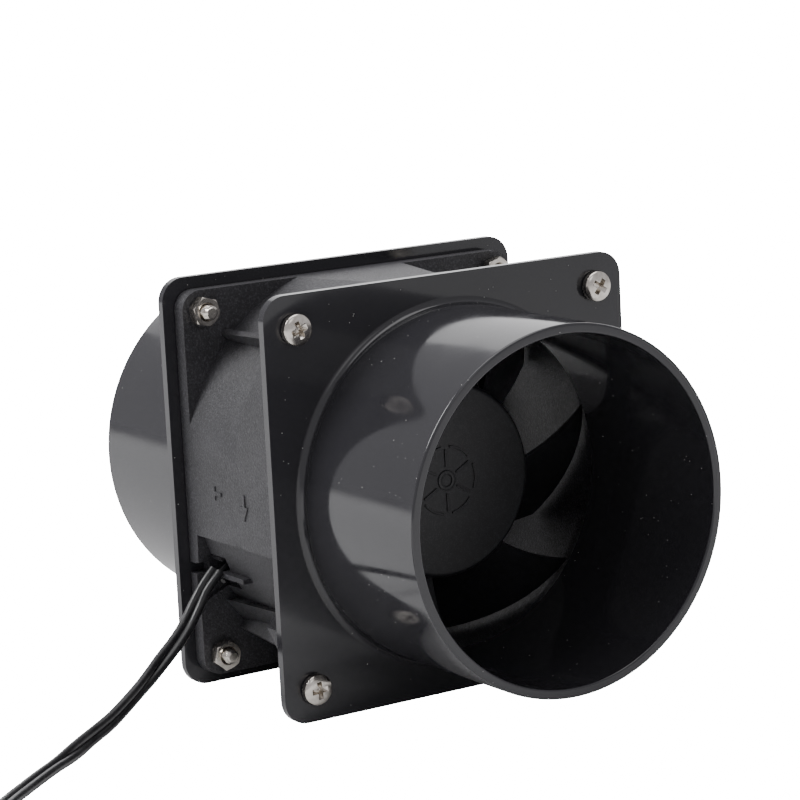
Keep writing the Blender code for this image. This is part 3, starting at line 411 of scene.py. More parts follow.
def tie_band():
    """A strap round the turns, with a small lock where its end passes through itself."""
    width, thickness, room, top = 2.8 * MM, 0.45 * MM, 4.0 * MM, 7.85 * MM
    outer, inner = strip_section((COIL_RADIUS - room, thickness + 0.02 * MM), (COIL_RADIUS + room, top),
                                 1.2 * MM, thickness)
    out = Vector((math.cos(TIE_ANGLE), math.sin(TIE_ANGLE), 0))
    side = Vector((-math.sin(TIE_ANGLE), math.cos(TIE_ANGLE), 0))
    shape = bmesh.new()
    loops = [[shape.verts.new(COIL_CENTRE + out * a + Vector((0, 0, b)) + side * sign * width / 2)
              for a, b in loop] for loop, sign in ((outer, -1), (outer, 1), (inner, 1), (inner, -1))]
    for first, second in zip(loops, loops[1:] + loops[:1]):
        for k in range(len(first)):
            after = (k + 1) % len(first)
            shape.faces.new((first[k], first[after], second[after], second[k]))
    band = placed("cord_tie_band", shape)
    lock = box("lock", (-2.2 * MM, -2.1 * MM, 0.0), (2.2 * MM, 2.1 * MM, 1.5 * MM))
    lock.data.transform(Matrix.Rotation(TIE_ANGLE, 4, "Z"))
    moved(softened(lock, 0.35 * MM),
          COIL_CENTRE + out * (COIL_RADIUS - 0.6 * MM) + Vector((0, 0, top + 0.1 * MM)))
    return smooth(gathered("cord_tie_band", [smooth(band, 50), lock]), 50)


tie = tie_band()
print("tie band", len(tie.data.polygons), "faces")

# %% [markdown]
# The plug is moulded onto the lead. Its grip is an easy shape to turn: slim where the lead enters, then a
# barrel. The finger ridges and the bending ribs of the slim end are ripples in the outline itself.
#
# With the plug made, the lead is fixed to the frame. One metre is the usual length on a small fan. Route,
# coil and tail are one mesh here, so it replaces three plain tubes of the working model.

# %% Plug grip
PLUG_RADIUS = (plug_high.x - plug_low.x) / 2
PLUG_END = plug_high.y
RELIEF_LENGTH, RELIEF_STEPS, RIB_DEPTH = 9.0 * MM, 18, 0.22 * MM
RIDGED_LENGTH, RIDGE_STEPS, RIDGE_DEPTH = 10.5 * MM, 28, 0.12 * MM
plug_start = PLUG_AXIS.y
grip = [(0.0, plug_start)]
for step in range(RELIEF_STEPS + 1):
    share = step / RELIEF_STEPS
    rib = RIB_DEPTH * (1 if (step // 2) % 2 == 0 else -1) if 1 < step < RELIEF_STEPS - 1 else 0.0
    grip.append((1.7 * MM + 0.5 * MM * share + rib, plug_start + RELIEF_LENGTH * share))
grip += [(3.6 * MM, plug_start + 10.4 * MM), (4.35 * MM, plug_start + 12.0 * MM),
         (PLUG_RADIUS, plug_start + 13.4 * MM)]
for step in range(RIDGE_STEPS):
    y = plug_start + 14.4 * MM + RIDGED_LENGTH * step / RIDGE_STEPS
    grip.append((PLUG_RADIUS - RIDGE_DEPTH + RIDGE_DEPTH * math.cos(TAU * step / 4), y))
grip += [(PLUG_RADIUS, PLUG_END - 1.2 * MM), (PLUG_RADIUS - 0.3 * MM, PLUG_END - 0.4 * MM),
         (PLUG_RADIUS - 0.8 * MM, PLUG_END), (0.0, PLUG_END)]
plug_grip = moved(turned("plug_grip", grip, 48), (PLUG_AXIS.x, 0, PLUG_AXIS.z))
smooth(plug_grip, 50)
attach(plug_grip, "frame")
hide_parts("plug_body")
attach(tie, "frame")
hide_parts("cord_tie")
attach(lead, "frame")
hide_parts("power_cord", "power_cord_tail", "power_cord_coil")
print("plug grip ends at", round(PLUG_END / MM, 1), "mm")

# %% [markdown]
# ## Finishes
# A finish is more than a colour. Moulded plastic has a faint waviness that bends reflections, a
# fine grain, and a little dust; plated steel is mottled; wound copper shows every wire. `finish` starts a
# material, `add` adds one node and wires it, and a few helpers build what the finishes share. All of
# them read Object coordinates, so a pattern has its real size and sticks to the piece.

# %% Helpers for materials
def finish(name, roughness, metallic=0.0, **extra):
    """A Principled material; values that are the same all over are set on the shader itself."""
    material = bpy.data.materials.new(name)
    material.use_nodes = True
    tree = material.node_tree
    shader = tree.nodes["Principled BSDF"]
    shader.inputs["Roughness"].default_value = roughness
    shader.inputs["Metallic"].default_value = metallic
    for label, value in extra.items():
        shader.inputs[label.replace("_", " ")].default_value = value
    coordinates = tree.nodes.new("ShaderNodeTexCoord").outputs["Object"]
    return material, tree, shader, coordinates


def add(tree, kind, inputs=None, **settings):
    """Add a node, set its options, and set or wire its inputs."""
    made = tree.nodes.new(kind)
    for label, value in settings.items():
        setattr(made, label, value)
    for label, value in (inputs or {}).items():
        if isinstance(value, bpy.types.NodeSocket):
            tree.links.new(value, made.inputs[label])
        else:
            made.inputs[label].default_value = value
    return made


def noise(tree, where, size, detail=3.0, roughness=0.5):
    """Noise whose blobs are about `size` metres across."""
    return add(tree, "ShaderNodeTexNoise", {"Vector": where, "Scale": 1 / size, "Detail": detail,
                                            "Roughness": roughness}).outputs["Fac"]


def graded(tree, value, low, high, out_low, out_high):
    """Stretch a value from one range to another, clamped."""
    return add(tree, "ShaderNodeMapRange", {"Value": value, "From Min": low, "From Max": high,
                                            "To Min": out_low, "To Max": out_high}).outputs["Result"]


def blended(tree, share, first, second):
    """Mix two colours; each is a triple or a socket."""
    def four(colour):
        return colour if isinstance(colour, bpy.types.NodeSocket) else (*colour, 1.0)
    return add(tree, "ShaderNodeMixRGB", {"Fac": share, "Color1": four(first),
                                          "Color2": four(second)}).outputs[0]


def bumped(tree, shader, heights):
    """Chain bumps, each (height socket, strength, depth in metres)."""
    normal = None
    for height, strength, depth in heights:
        inputs = {"Height": height, "Strength": strength, "Distance": depth}
        if normal is not None:
            inputs["Normal"] = normal
        normal = add(tree, "ShaderNodeBump", inputs).outputs["Normal"]
    tree.links.new(normal, shader.inputs["Normal"])


def reckoned(tree, operation, first, second):
    """One sum, product or comparison of two values."""
    return add(tree, "ShaderNodeMath", {0: first, 1: second}, operation=operation).outputs[0]


def dusted(tree, where, colour, amount):
    """Scatter a few pale specks of dust over a colour: small cells, of which only the rarest show."""
    cell, speck_share, dust = 1.1 * MM, 0.075, (0.55, 0.55, 0.52)
    cells = add(tree, "ShaderNodeTexVoronoi", {"Vector": where, "Scale": 1 / cell})
    near = reckoned(tree, "LESS_THAN", cells.outputs["Distance"], speck_share)
    pick = add(tree, "ShaderNodeSeparateColor", {"Color": cells.outputs["Color"]}).outputs[0]
    rare = reckoned(tree, "GREATER_THAN", pick, 1 - amount)
    patches = graded(tree, noise(tree, where, 14 * MM, 2.0), 0.45, 0.6, 0.0, 1.0)
    speck = reckoned(tree, "MULTIPLY", reckoned(tree, "MULTIPLY", near, rare), patches)
    return blended(tree, speck, colour, dust), speck


print("material helpers ready")

# %% [markdown]
# The collars are polished ABS: almost a black mirror, with a very gentle waviness from the mould and
# some dust. Roughness varies a little, because handling dulls it in patches.

# %% Gloss black for the collars
def gloss_black():
    material, tree, shader, where = finish("gloss_black_abs", 0.09, IOR=1.54)
    base = blended(tree, noise(tree, where, 22 * MM), (0.0200, 0.0196, 0.0226),
                   (0.0250, 0.0246, 0.0278))
    colour, speck = dusted(tree, where, base, 0.22)
    tree.links.new(colour, shader.inputs["Base Color"])
    smear = graded(tree, noise(tree, where, 9 * MM, 4.0), 0.35, 0.75, 0.075, 0.15)
    tree.links.new(reckoned(tree, "MAXIMUM", smear, speck), shader.inputs["Roughness"])
    bumped(tree, shader, [(noise(tree, where, 17 * MM, 1.0), 0.2, 0.25 * MM), (speck, 0.4, 0.05 * MM)])
    return material


collar_finish = gloss_black()
print("made", collar_finish.name)

# %% [markdown]
# The fan's own housing is glass-filled polyester, moulded in a spark-eroded tool. It is dark grey, dull
# and finely pitted, and the fibres show as tiny paler flecks. The impeller is the same family of
# plastic but smoother, so it takes a soft sheen. Its colour is darker than the housing's: partly its own
# tone, and partly painted shade for the shadow inside the fan's throat.

# %% Housing and impeller plastics
def pitted_black(name, low, high, roughness, grain, depth):
    """Dark plastic with pits of a given size and depth, and paler flecks a little smaller."""
    material, tree, shader, where = finish(name, roughness)
    cloud = noise(tree, where, 11 * MM)
    base = blended(tree, graded(tree, cloud, 0.35, 0.65, 0, 1), low, high)
    flecks = graded(tree, noise(tree, where, grain * 0.8, 2.0), 0.52, 0.68, 0.0, 0.6)
    paler = tuple(min(1.0, channel * 2.6) for channel in high)
    tree.links.new(blended(tree, flecks, base, paler), shader.inputs["Base Color"])
    pits = noise(tree, where, grain, 3.0, 0.65)
    tree.links.new(graded(tree, pits, 0.3, 0.7, roughness - 0.06, roughness + 0.08),
                   shader.inputs["Roughness"])
    bumped(tree, shader, [(pits, 0.8, depth)])
    return material


housing_finish = pitted_black("pitted_black_polyester", (0.020, 0.0196, 0.022), (0.030, 0.0295, 0.033),
                              0.46, 0.48 * MM, 0.22 * MM)
# The impeller's base colours are set below the housing's: partly its own darker tone, partly painted shade
# for the shadow inside the throat.
impeller_finish_with_painted_shade = pitted_black("satin_black_polyester_with_painted_shade", (0.011, 0.011, 0.012), (0.015, 0.015, 0.017),
                               0.38, 0.28 * MM, 0.02 * MM)
print("made", housing_finish.name, "and", impeller_finish_with_painted_shade.name)

# %% [markdown]
# Metals. Nickel plate is warm and bright, slightly uneven where it is thin. Ground steel carries fine
# lines, which a stretched noise gives. A stator core is stacked from thin sheets, and a winding is wire
# beside wire: both are a wave along the axis, with one period a sheet or a wire.

# %% Metals
WAVE_PERIOD = 0.314  # metres, what Blender's wave texture has at a scale of one


def plated(name, light, dark, roughness):
    """Bright metal with duller blotches about a millimetre across."""
    material, tree, shader, where = finish(name, roughness, 1.0)
    spots = graded(tree, noise(tree, where, 1.2 * MM, 4.0, 0.6), 0.35, 0.7, 0.0, 1.0)
    tree.links.new(blended(tree, spots, light, dark), shader.inputs["Base Color"])
    wear = noise(tree, where, 0.5 * MM, 3.0)
    tree.links.new(graded(tree, wear, 0.3, 0.75, roughness * 0.75, roughness * 1.6),
                   shader.inputs["Roughness"])
    bumped(tree, shader, [(wear, 0.3, 0.02 * MM)])
    return material


def ground_steel():
    material, tree, shader, where = finish("ground_steel", 0.25, 1.0)
    stretched = add(tree, "ShaderNodeMapping", {"Vector": where, "Scale": (1.0, 14.0, 1.0)}).outputs[0]
    lines = noise(tree, stretched, 2.5 * MM, 4.0, 0.7)
    tree.links.new(blended(tree, lines, (0.50, 0.50, 0.52), (0.68, 0.68, 0.69)), shader.inputs["Base Color"])
    tree.links.new(graded(tree, lines, 0.3, 0.7, 0.18, 0.36), shader.inputs["Roughness"])
    bumped(tree, shader, [(lines, 0.25, 0.01 * MM)])
    return material


def striped(name, first, second, period, roughness, depth):
    """Bands across the fan's axis, as sheets or wires lying side by side show."""
    material, tree, shader, where = finish(name, roughness, 1.0)
    wave = add(tree, "ShaderNodeTexWave", {"Vector": where, "Scale": WAVE_PERIOD / period,
                                           "Distortion": 0.15, "Detail": 1.0, "Detail Scale": 2.0},
               wave_type="BANDS", bands_direction="Y", wave_profile="SIN").outputs["Fac"]
    tree.links.new(blended(tree, wave, second, first), shader.inputs["Base Color"])
    tree.links.new(graded(tree, wave, 0.0, 1.0, roughness + 0.15, roughness), shader.inputs["Roughness"])
    bumped(tree, shader, [(wave, 0.8, depth)])
    return material


nickel_finish = plated("nickel_plate", (0.74, 0.70, 0.64), (0.55, 0.51, 0.46), 0.17)
brass_finish = plated("pressed_brass", (0.70, 0.52, 0.24), (0.52, 0.37, 0.16), 0.28)
steel_finish = ground_steel()
core_finish = striped("stacked_steel_sheet", (0.40, 0.40, 0.42), (0.10, 0.10, 0.11), 0.5 * MM, 0.35,
                      0.06 * MM)
copper_finish = striped("enamelled_wire", (0.72, 0.27, 0.09), (0.20, 0.05, 0.02), 0.22 * MM, 0.22,
                        0.08 * MM)
print("made", nickel_finish.name, steel_finish.name, core_finish.name, copper_finish.name)

# %% [markdown]
# The rest are small inside parts, visible only when the fan is looked into from behind or opened: white
# nylon, a green board with fine tracks, epoxy chips, a sintered magnet, a blank foil disc and soft PVC.

# %% Inside finishes and soft PVC
def cloudy(name, low, high, roughness, size, depth=0.02 * MM, **extra):
    """Two close tones in soft patches of a given size, over a shallow grain."""
    material, tree, shader, where = finish(name, roughness, **extra)
    cloud = noise(tree, where, size, 4.0, 0.6)
    tree.links.new(blended(tree, graded(tree, cloud, 0.3, 0.7, 0, 1), low, high),
                   shader.inputs["Base Color"])
    tree.links.new(graded(tree, cloud, 0.3, 0.7, roughness - 0.05, roughness + 0.09),
                   shader.inputs["Roughness"])
    bumped(tree, shader, [(noise(tree, where, size * 0.25, 3.0), 0.5, depth)])
    return material


def printed_board():
    """Solder mask over tracks, which the joints of a brick pattern stand for."""
    material, tree, shader, where = finish("green_printed_board", 0.35)
    turned_face = add(tree, "ShaderNodeMapping", {"Vector": where,
                                                  "Rotation": (math.pi / 2, 0.4, 0)}).outputs[0]
    bricks = add(tree, "ShaderNodeTexBrick", {
        "Vector": turned_face, "Scale": 1.0, "Brick Width": 4.0 * MM, "Row Height": 1.1 * MM,
        "Mortar Size": 0.16 * MM, "Mortar Smooth": 0.2})
    mask = blended(tree, noise(tree, where, 3 * MM), (0.012, 0.10, 0.045), (0.02, 0.15, 0.06))
    tree.links.new(blended(tree, bricks.outputs["Fac"], mask, (0.06, 0.26, 0.10)),
                   shader.inputs["Base Color"])
    bumped(tree, shader, [(bricks.outputs["Fac"], 0.5, 0.03 * MM)])
    return material


pvc_finish = cloudy("soft_black_pvc", (0.010, 0.010, 0.011), (0.017, 0.017, 0.018), 0.34, 3 * MM,
                    0.04 * MM)
nylon_finish = cloudy("white_nylon", (0.66, 0.65, 0.60), (0.76, 0.75, 0.70), 0.42, 2 * MM)
chip_finish = cloudy("epoxy_black", (0.014, 0.014, 0.015), (0.026, 0.026, 0.027), 0.45, 0.4 * MM)
magnet_finish = cloudy("sintered_ferrite", (0.040, 0.037, 0.036), (0.075, 0.070, 0.068), 0.62, 0.6 * MM,
                       0.05 * MM)
foil_finish = cloudy("blank_foil", (0.52, 0.53, 0.55), (0.62, 0.63, 0.65), 0.28, 5 * MM, Metallic=1.0)
board_finish = printed_board()
inside_finishes = (
    (steel_finish, "rotor_yoke rotor_shaft preload_spring thrust_washer retaining_clip "
                   "front_bearing_outer_race front_bearing_inner_race "
                   "rear_bearing_outer_race rear_bearing_inner_race"),
    (brass_finish, "front_bearing_balls rear_bearing_balls"),
    (magnet_finish, "ring_magnet"),
    (core_finish, "stator_core"),
    (copper_finish, "winding_1 winding_2 winding_3 winding_4"),
    (nylon_finish, "stator_insulator_front stator_insulator_rear"),
    (board_finish, "circuit_board"),
    (chip_finish, "hall_sensor driver_chip plug_insulator"),
    (foil_finish, "rear_label"),
    (pvc_finish, "inner_lead_1 inner_lead_2"),
    (nickel_finish, "plug_sleeve"),
)


def dress(thing, material):
    """Give a piece one finish in its first material slot."""
    if not thing.data.materials:
        thing.data.materials.append(material)
    for slot in thing.material_slots:
        slot.material = material
    return thing


dressed = [dress(nodes[label], material) for material, labels in inside_finishes
           for label in labels.split()]
for piece in (lead, tie, plug_grip):
    dress(piece, pvc_finish)
print("dressed", len(dressed), "inside parts and the lead")

# %% [markdown]
# ## The duct collars
# Each collar is a square plate with a round spigot, moulded in one. We extrude the plate, join a turned
# solid to it with a fillet at its foot, bore it, and drill the corners. A bevel rounds every sharp edge a
# little, because a real edge always catches a line of light. Ejector pins leave faint round marks.

# %% Duct collars
COLLAR_RADIUS = 36.25 * MM
COLLAR_BORE = COLLAR_RADIUS - 2.0 * MM
FILLET = 1.5 * MM
RIM_ROUND = 0.5 * MM
FACET_TURN = 0.07
BORE_STEP = 0.6 * MM


def at_corners(tool, x, z):
    """The same cutter at four corners, (x, z) from the axis."""
    places = [(side * x, 0, level * z) for side in (-1, 1) for level in (-1, 1)]
    return [moved(tool(), place) for place in places]


def duct_collar(name):
    """Plate's inner face at y = -PLATE_INNER, mouth towards -Y."""
    face = -PLATE_INNER - PLATE_THICKNESS
    mouth, sunk = -MOUTH, face + 0.9 * MM
    plate = prism("plate", rounded_square(PLATE_SIDE, 5.0 * MM, 10), -PLATE_INNER, face)
    foot = COLLAR_RADIUS + FILLET
    outside = [(0, sunk), (foot, sunk)] + arc((foot, face - FILLET), FILLET, 90, 180, 8)
    outside += arc((COLLAR_RADIUS - RIM_ROUND, mouth + RIM_ROUND), RIM_ROUND, 0, -90, 5) + [(0, mouth)]
    combined(plate, turned("spigot", outside, 192), "UNION")
    wide, wide_end = COLLAR_BORE + BORE_STEP, -PLATE_INNER - 0.05 * MM
    inside = [(0, 0), (wide, 0), (wide, wide_end), (COLLAR_BORE, wide_end - BORE_STEP),
              (COLLAR_BORE, mouth + RIM_ROUND)]
    inside += arc((COLLAR_BORE + RIM_ROUND, mouth + RIM_ROUND), RIM_ROUND, 180, 270, 5)[1:]
    inside += [(COLLAR_BORE + RIM_ROUND, mouth - MM), (0, mouth - MM)]
    combined(plate, turned("bore", inside, 192), "DIFFERENCE")

    def bolt_hole():
        hole = turned("hole", [(0, face - MM), (BOLT_HOLE, face - MM), (BOLT_HOLE, 0), (0, 0)], 40)
        return about_axis(hole, FACET_TURN)

    def pin_mark():
        return turned("mark", [(0, -PLATE_INNER - 0.12 * MM), (1.6 * MM, -PLATE_INNER - 0.12 * MM),
                               (1.6 * MM, 0), (0, 0)], 32)

    drills = at_corners(bolt_hole, HOLE_SPACING / 2, HOLE_SPACING / 2)
    drills += at_corners(pin_mark, 29.5 * MM, 36.5 * MM)
    combined(plate, gathered("drills", drills), "DIFFERENCE")
    plate.name = name
    softened(plate, 0.28 * MM, 3)
    return plate


front_collar = duct_collar("front_collar")
rear_collar = bpy.data.objects.new("rear_collar", front_collar.data.copy())
bpy.context.scene.collection.objects.link(rear_collar)
rear_collar.data.transform(Matrix.Rotation(math.pi, 4, "Z"))
for collar, node_name in ((front_collar, "front_duct_collar"), (rear_collar, "rear_duct_collar")):
    moved(collar, AXIS)
    dress(collar, collar_finish)
    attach(collar, "frame")
    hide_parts(node_name)
print("collars have", len(front_collar.data.polygons), "faces each")

# %% [markdown]
# ## Growing repeated parts with Geometry Nodes
# Bolts sit at the corners of a square, and blades and spokes repeat round the axis. Both rules are
# small node trees. The shape to repeat is the object's own mesh, which enters the tree as Geometry;
# sizes are named inputs. `grown` sets the inputs, evaluates the tree once and keeps a plain mesh.

# %% Helpers for Geometry Nodes
def new_tree(name, **sockets):
    """A geometry tree with named inputs; returns the tree and its input and output nodes."""
    tree = bpy.data.node_groups.new(name, "GeometryNodeTree")
    tree.is_modifier = True
    tree.interface.new_socket("Geometry", in_out="OUTPUT", socket_type="NodeSocketGeometry")
    tree.interface.new_socket("Geometry", in_out="INPUT", socket_type="NodeSocketGeometry")
    for label, kind in sockets.items():
        tree.interface.new_socket(label, in_out="INPUT", socket_type="NodeSocket" + kind)
    return tree, tree.nodes.new("NodeGroupInput").outputs, tree.nodes.new("NodeGroupOutput").inputs


def delivered(tree, geometry, material, out):
    """End a tree the way an export needs it: real geometry, shaded, with its material."""
    real = add(tree, "GeometryNodeRealizeInstances", {"Geometry": geometry}).outputs[0]
    painted = add(tree, "GeometryNodeSetMaterial", {"Geometry": real, "Material": material}).outputs[0]
    tree.links.new(painted, out[0])


def grown(name, seed, tree, **values):
    """Run a tree on a seed mesh and keep the result as a plain object."""
    thing = bpy.data.objects.new(name, seed)
    bpy.context.scene.collection.objects.link(thing)
    modifier = thing.modifiers.new("grow", "NODES")
    modifier.node_group = tree
    for item in tree.interface.items_tree:
        if item.item_type == "SOCKET" and item.in_out == "INPUT" and item.name in values:
            modifier[item.identifier] = values[item.name]
    thing.update_tag()
    return baked(thing)


def seed_of(thing):
    """Take a finished shape's mesh to be repeated, and drop its object."""
    mesh = thing.data
    bpy.data.objects.remove(thing, do_unlink=True)
    return mesh


def corner_tree():
    """One shape at each corner of a square across the axis, each turned about its own axis by chance."""
    tree, given, out = new_tree("at_the_corners", Spacing="Float", Along="Float", Facing="Float",
                                Height="Float", Seed="Int", Material="Material")
    grid = add(tree, "GeometryNodeMeshGrid", {"Size X": given["Spacing"], "Size Y": given["Spacing"],
                                              "Vertices X": 2, "Vertices Y": 2}).outputs[0]
    place = add(tree, "ShaderNodeCombineXYZ", {"Y": given["Along"], "Z": given["Height"]}).outputs[0]
    upright = add(tree, "GeometryNodeTransform", {"Geometry": grid, "Translation": place,
                                                  "Rotation": (math.pi / 2, 0, 0)}).outputs[0]
    chance = add(tree, "FunctionNodeRandomValue", {"Max": TAU, "Seed": given["Seed"]}, data_type="FLOAT")
    spin = next(socket for socket in chance.outputs if socket.enabled)
    turn = add(tree, "ShaderNodeCombineXYZ", {"Y": spin, "Z": given["Facing"]}).outputs[0]
    copies = add(tree, "GeometryNodeInstanceOnPoints", {"Points": upright, "Instance": given["Geometry"],
                                                        "Rotation": turn}).outputs[0]
    delivered(tree, copies, given["Material"], out)
    return tree


def wheel_tree():
    """One shape repeated round the fan's axis."""
    tree, given, out = new_tree("round_the_axis", Count="Int", Step="Float", Height="Float",
                                Material="Material")
    points = add(tree, "GeometryNodePoints", {"Count": given["Count"]}).outputs[0]
    index = add(tree, "GeometryNodeInputIndex").outputs[0]
    angle = reckoned(tree, "MULTIPLY", index, given["Step"])
    turn = add(tree, "ShaderNodeCombineXYZ", {"Y": angle}).outputs[0]
    copies = add(tree, "GeometryNodeInstanceOnPoints", {"Points": points, "Instance": given["Geometry"],
                                                        "Rotation": turn}).outputs[0]
    lift = add(tree, "ShaderNodeCombineXYZ", {"Z": given["Height"]}).outputs[0]
    raised = add(tree, "GeometryNodeTransform", {"Geometry": copies, "Translation": lift}).outputs[0]
    delivered(tree, raised, given["Material"], out)
    return tree


at_the_corners = corner_tree()
round_the_axis = wheel_tree()
print("trees:", at_the_corners.name, round_the_axis.name)

# %% [markdown]
# ## Bolts and nuts
# Eight M3 pan-head bolts hold the plates. The head is turned and its cross recess is cut by two tapered
# wedges. The thread is a real helix, not a texture: every point of a fine tube is moved in or out by its
# height and its angle together, so the ridge climbs as it goes round.

# %% Bolts
HEAD_RADIUS, HEAD_HEIGHT = 3.15 * MM, 2.1 * MM
BOLT_LENGTH = 10.5 * MM
SHANK_RADIUS, POINT_RADIUS, POINT_LENGTH = 1.5 * MM, 1.0 * MM, 0.4 * MM
PITCH, THREAD_DEPTH = 0.5 * MM, 0.29 * MM


def recess_wedge(turn):
    """One wing of a cross recess, tapering inwards and downwards."""
    top, bottom = -HEAD_HEIGHT - 0.1 * MM, -HEAD_HEIGHT + 1.45 * MM
    wide, narrow = 1.95 * MM, 0.65 * MM
    thick, thin = 0.56 * MM, 0.36 * MM
    shape = bmesh.new()
    rims = []
    for y, a, b in ((top, wide, thick), (bottom, narrow, thin)):
        rims.append([shape.verts.new((sign_a * a, y, sign_b * b))
                     for sign_a, sign_b in ((1, 1), (-1, 1), (-1, -1), (1, -1))])
    shape.faces.new(rims[0])
    shape.faces.new(rims[1])
    for k in range(4):
        after = (k + 1) % 4
        shape.faces.new((rims[0][k], rims[0][after], rims[1][after], rims[1][k]))
    return about_axis(placed("wing", shape), turn)


def threaded_shank():
    """A helical ridge: the radius follows (height / pitch + angle / turn)."""
    around, rows = 24, 84
    threaded = BOLT_LENGTH - POINT_LENGTH
    shape = bmesh.new()

    def level(y, radius_at):
        loop = []
        for k in range(around):
            radius, angle = radius_at(k), TAU * k / around
            loop.append(shape.verts.new((radius * math.cos(angle), y, radius * math.sin(angle))))
        return loop

    rings = []
    for row in range(rows + 1):
        y = threaded * row / rows
        rings.append(level(y, lambda k: SHANK_RADIUS - THREAD_DEPTH
                           * (1 - abs(2 * ((y / PITCH + k / around) % 1.0) - 1))))
    rings.append(level(BOLT_LENGTH, lambda k: POINT_RADIUS))
    for first, second in zip(rings, rings[1:]):
        for k in range(around):
            after = (k + 1) % around
            shape.faces.new((first[k], first[after], second[after], second[k]))
    shape.faces.new(rings[0])
    shape.faces.new(rings[-1])
    return placed("shank", shape)


def bolt_mesh():
    """A low dome, cut by the two wings of its recess, on its shank."""
    dome = [(0, -HEAD_HEIGHT)]
    dome += [(HEAD_RADIUS * math.sin(a), -HEAD_HEIGHT * (0.42 + 0.58 * math.cos(a) ** 0.55))
             for a in (math.radians(d) for d in (12, 24, 36, 47, 57, 66, 74, 81, 87))]
    dome += [(HEAD_RADIUS, -HEAD_HEIGHT * 0.38), (HEAD_RADIUS, -0.2 * MM), (HEAD_RADIUS - 0.15 * MM, 0),
             (0, 0)]
    head = turned("head", dome, 48)
    for turn in (0.0, math.pi / 2):
        combined(head, recess_wedge(turn + 0.02), "DIFFERENCE")
    softened(head, 0.05 * MM, 2)
    return seed_of(smooth(gathered("bolt", [head, threaded_shank()]), 40))


bolt_shape = bolt_mesh()
print("bolt", len(bolt_shape.polygons), "faces")

# %% [markdown]
# A nut is a hexagonal prism with its corners chamfered at both ends. The chamfer is a cone round the
# axis, so we intersect the prism with a turned envelope. One bolt and one nut are enough: each set of
# four grows at the corners of the square, every copy turned by chance, as hands leave them.

# %% Nuts, and the four sets
NUT_REACH = 2.75 * MM / math.cos(math.pi / 6)
NUT_THICKNESS = 2.4 * MM


def nut_mesh():
    """Hexagon, both ends chamfered by a turned envelope, bored."""
    end, slope = -NUT_THICKNESS, 0.38 * MM
    over, past = NUT_REACH + 0.1 * MM, 0.01 * MM
    hexagon = [(NUT_REACH * math.cos(k * TAU / 6), NUT_REACH * math.sin(k * TAU / 6)) for k in range(6)]
    nut = prism("nut", hexagon, 0.0, end)
    envelope = [(0, past), (NUT_REACH - slope, past), (over, -slope), (over, end + slope),
                (NUT_REACH - slope, end - past), (0, end - past)]
    combined(nut, turned("envelope", envelope, 60), "INTERSECT")
    mouth, bore, lead_in = 1.95 * MM, 1.62 * MM, 0.33 * MM
    thread_hole = [(0, MM), (mouth, MM), (mouth, 0), (bore, -lead_in), (bore, end + lead_in), (mouth, end),
                   (mouth, end - MM), (0, end - MM)]
    combined(nut, turned("bore", thread_hole, 40), "DIFFERENCE")
    return seed_of(softened(nut, 0.06 * MM, 2))


nut_shape = nut_mesh()
BOLT_SEAT = -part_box("front_bolt_1")[0].y - HEAD_HEIGHT
NUT_SEAT = -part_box("front_nut_1")[0].y
for end, sign, facing, seed in (("front", -1, 0.0, 7), ("rear", 1, math.pi, 11)):
    for kind, shape, seat, about in (("bolt", bolt_shape, BOLT_SEAT, facing),
                                     ("nut", nut_shape, NUT_SEAT, facing + math.pi)):
        piece = grown(f"{end}_{kind}s", shape, at_the_corners, Spacing=HOLE_SPACING, Along=sign * seat,
                      Facing=about, Height=AXIS.z, Seed=seed, Material=nickel_finish)
        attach(piece, "frame")
        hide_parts(*[f"{end}_{kind}_{number}" for number in (1, 2, 3, 4)])
        print(piece.name, len(piece.data.polygons), "faces")

# %% [markdown]
# ## The impeller
# The hub is a turned cup. A blade is a curved plate given by one rule: how far round and how deep the
# mid-surface is at each point from root to tip and from leading to trailing edge. That suits Geometry
# Nodes: a plain block of many small cells is bent into the blade by a formula. Node formulas are hard
# to read as wires, so `Field` lets us write them as sums and products.

# %% Formulas as nodes
class Field:
    """A number that varies over a mesh; arithmetic on it adds Math nodes to its tree."""

    def __init__(self, tree, socket):
        self.tree, self.socket = tree, socket

    def made(self, operation, *others):
        node = self.tree.nodes.new("ShaderNodeMath")
        node.operation = operation
        for slot, value in zip(node.inputs, (self, *others)):
            if isinstance(value, Field):
                self.tree.links.new(value.socket, slot)
            else:
                slot.default_value = value
        return Field(self.tree, node.outputs[0])

    def __add__(self, other):
        return self.made("ADD", other)

    def __sub__(self, other):
        return self.made("SUBTRACT", other)

    def __mul__(self, other):
        return self.made("MULTIPLY", other)

    def __truediv__(self, other):
        return self.made("DIVIDE", other)

    __radd__, __rmul__ = __add__, __mul__


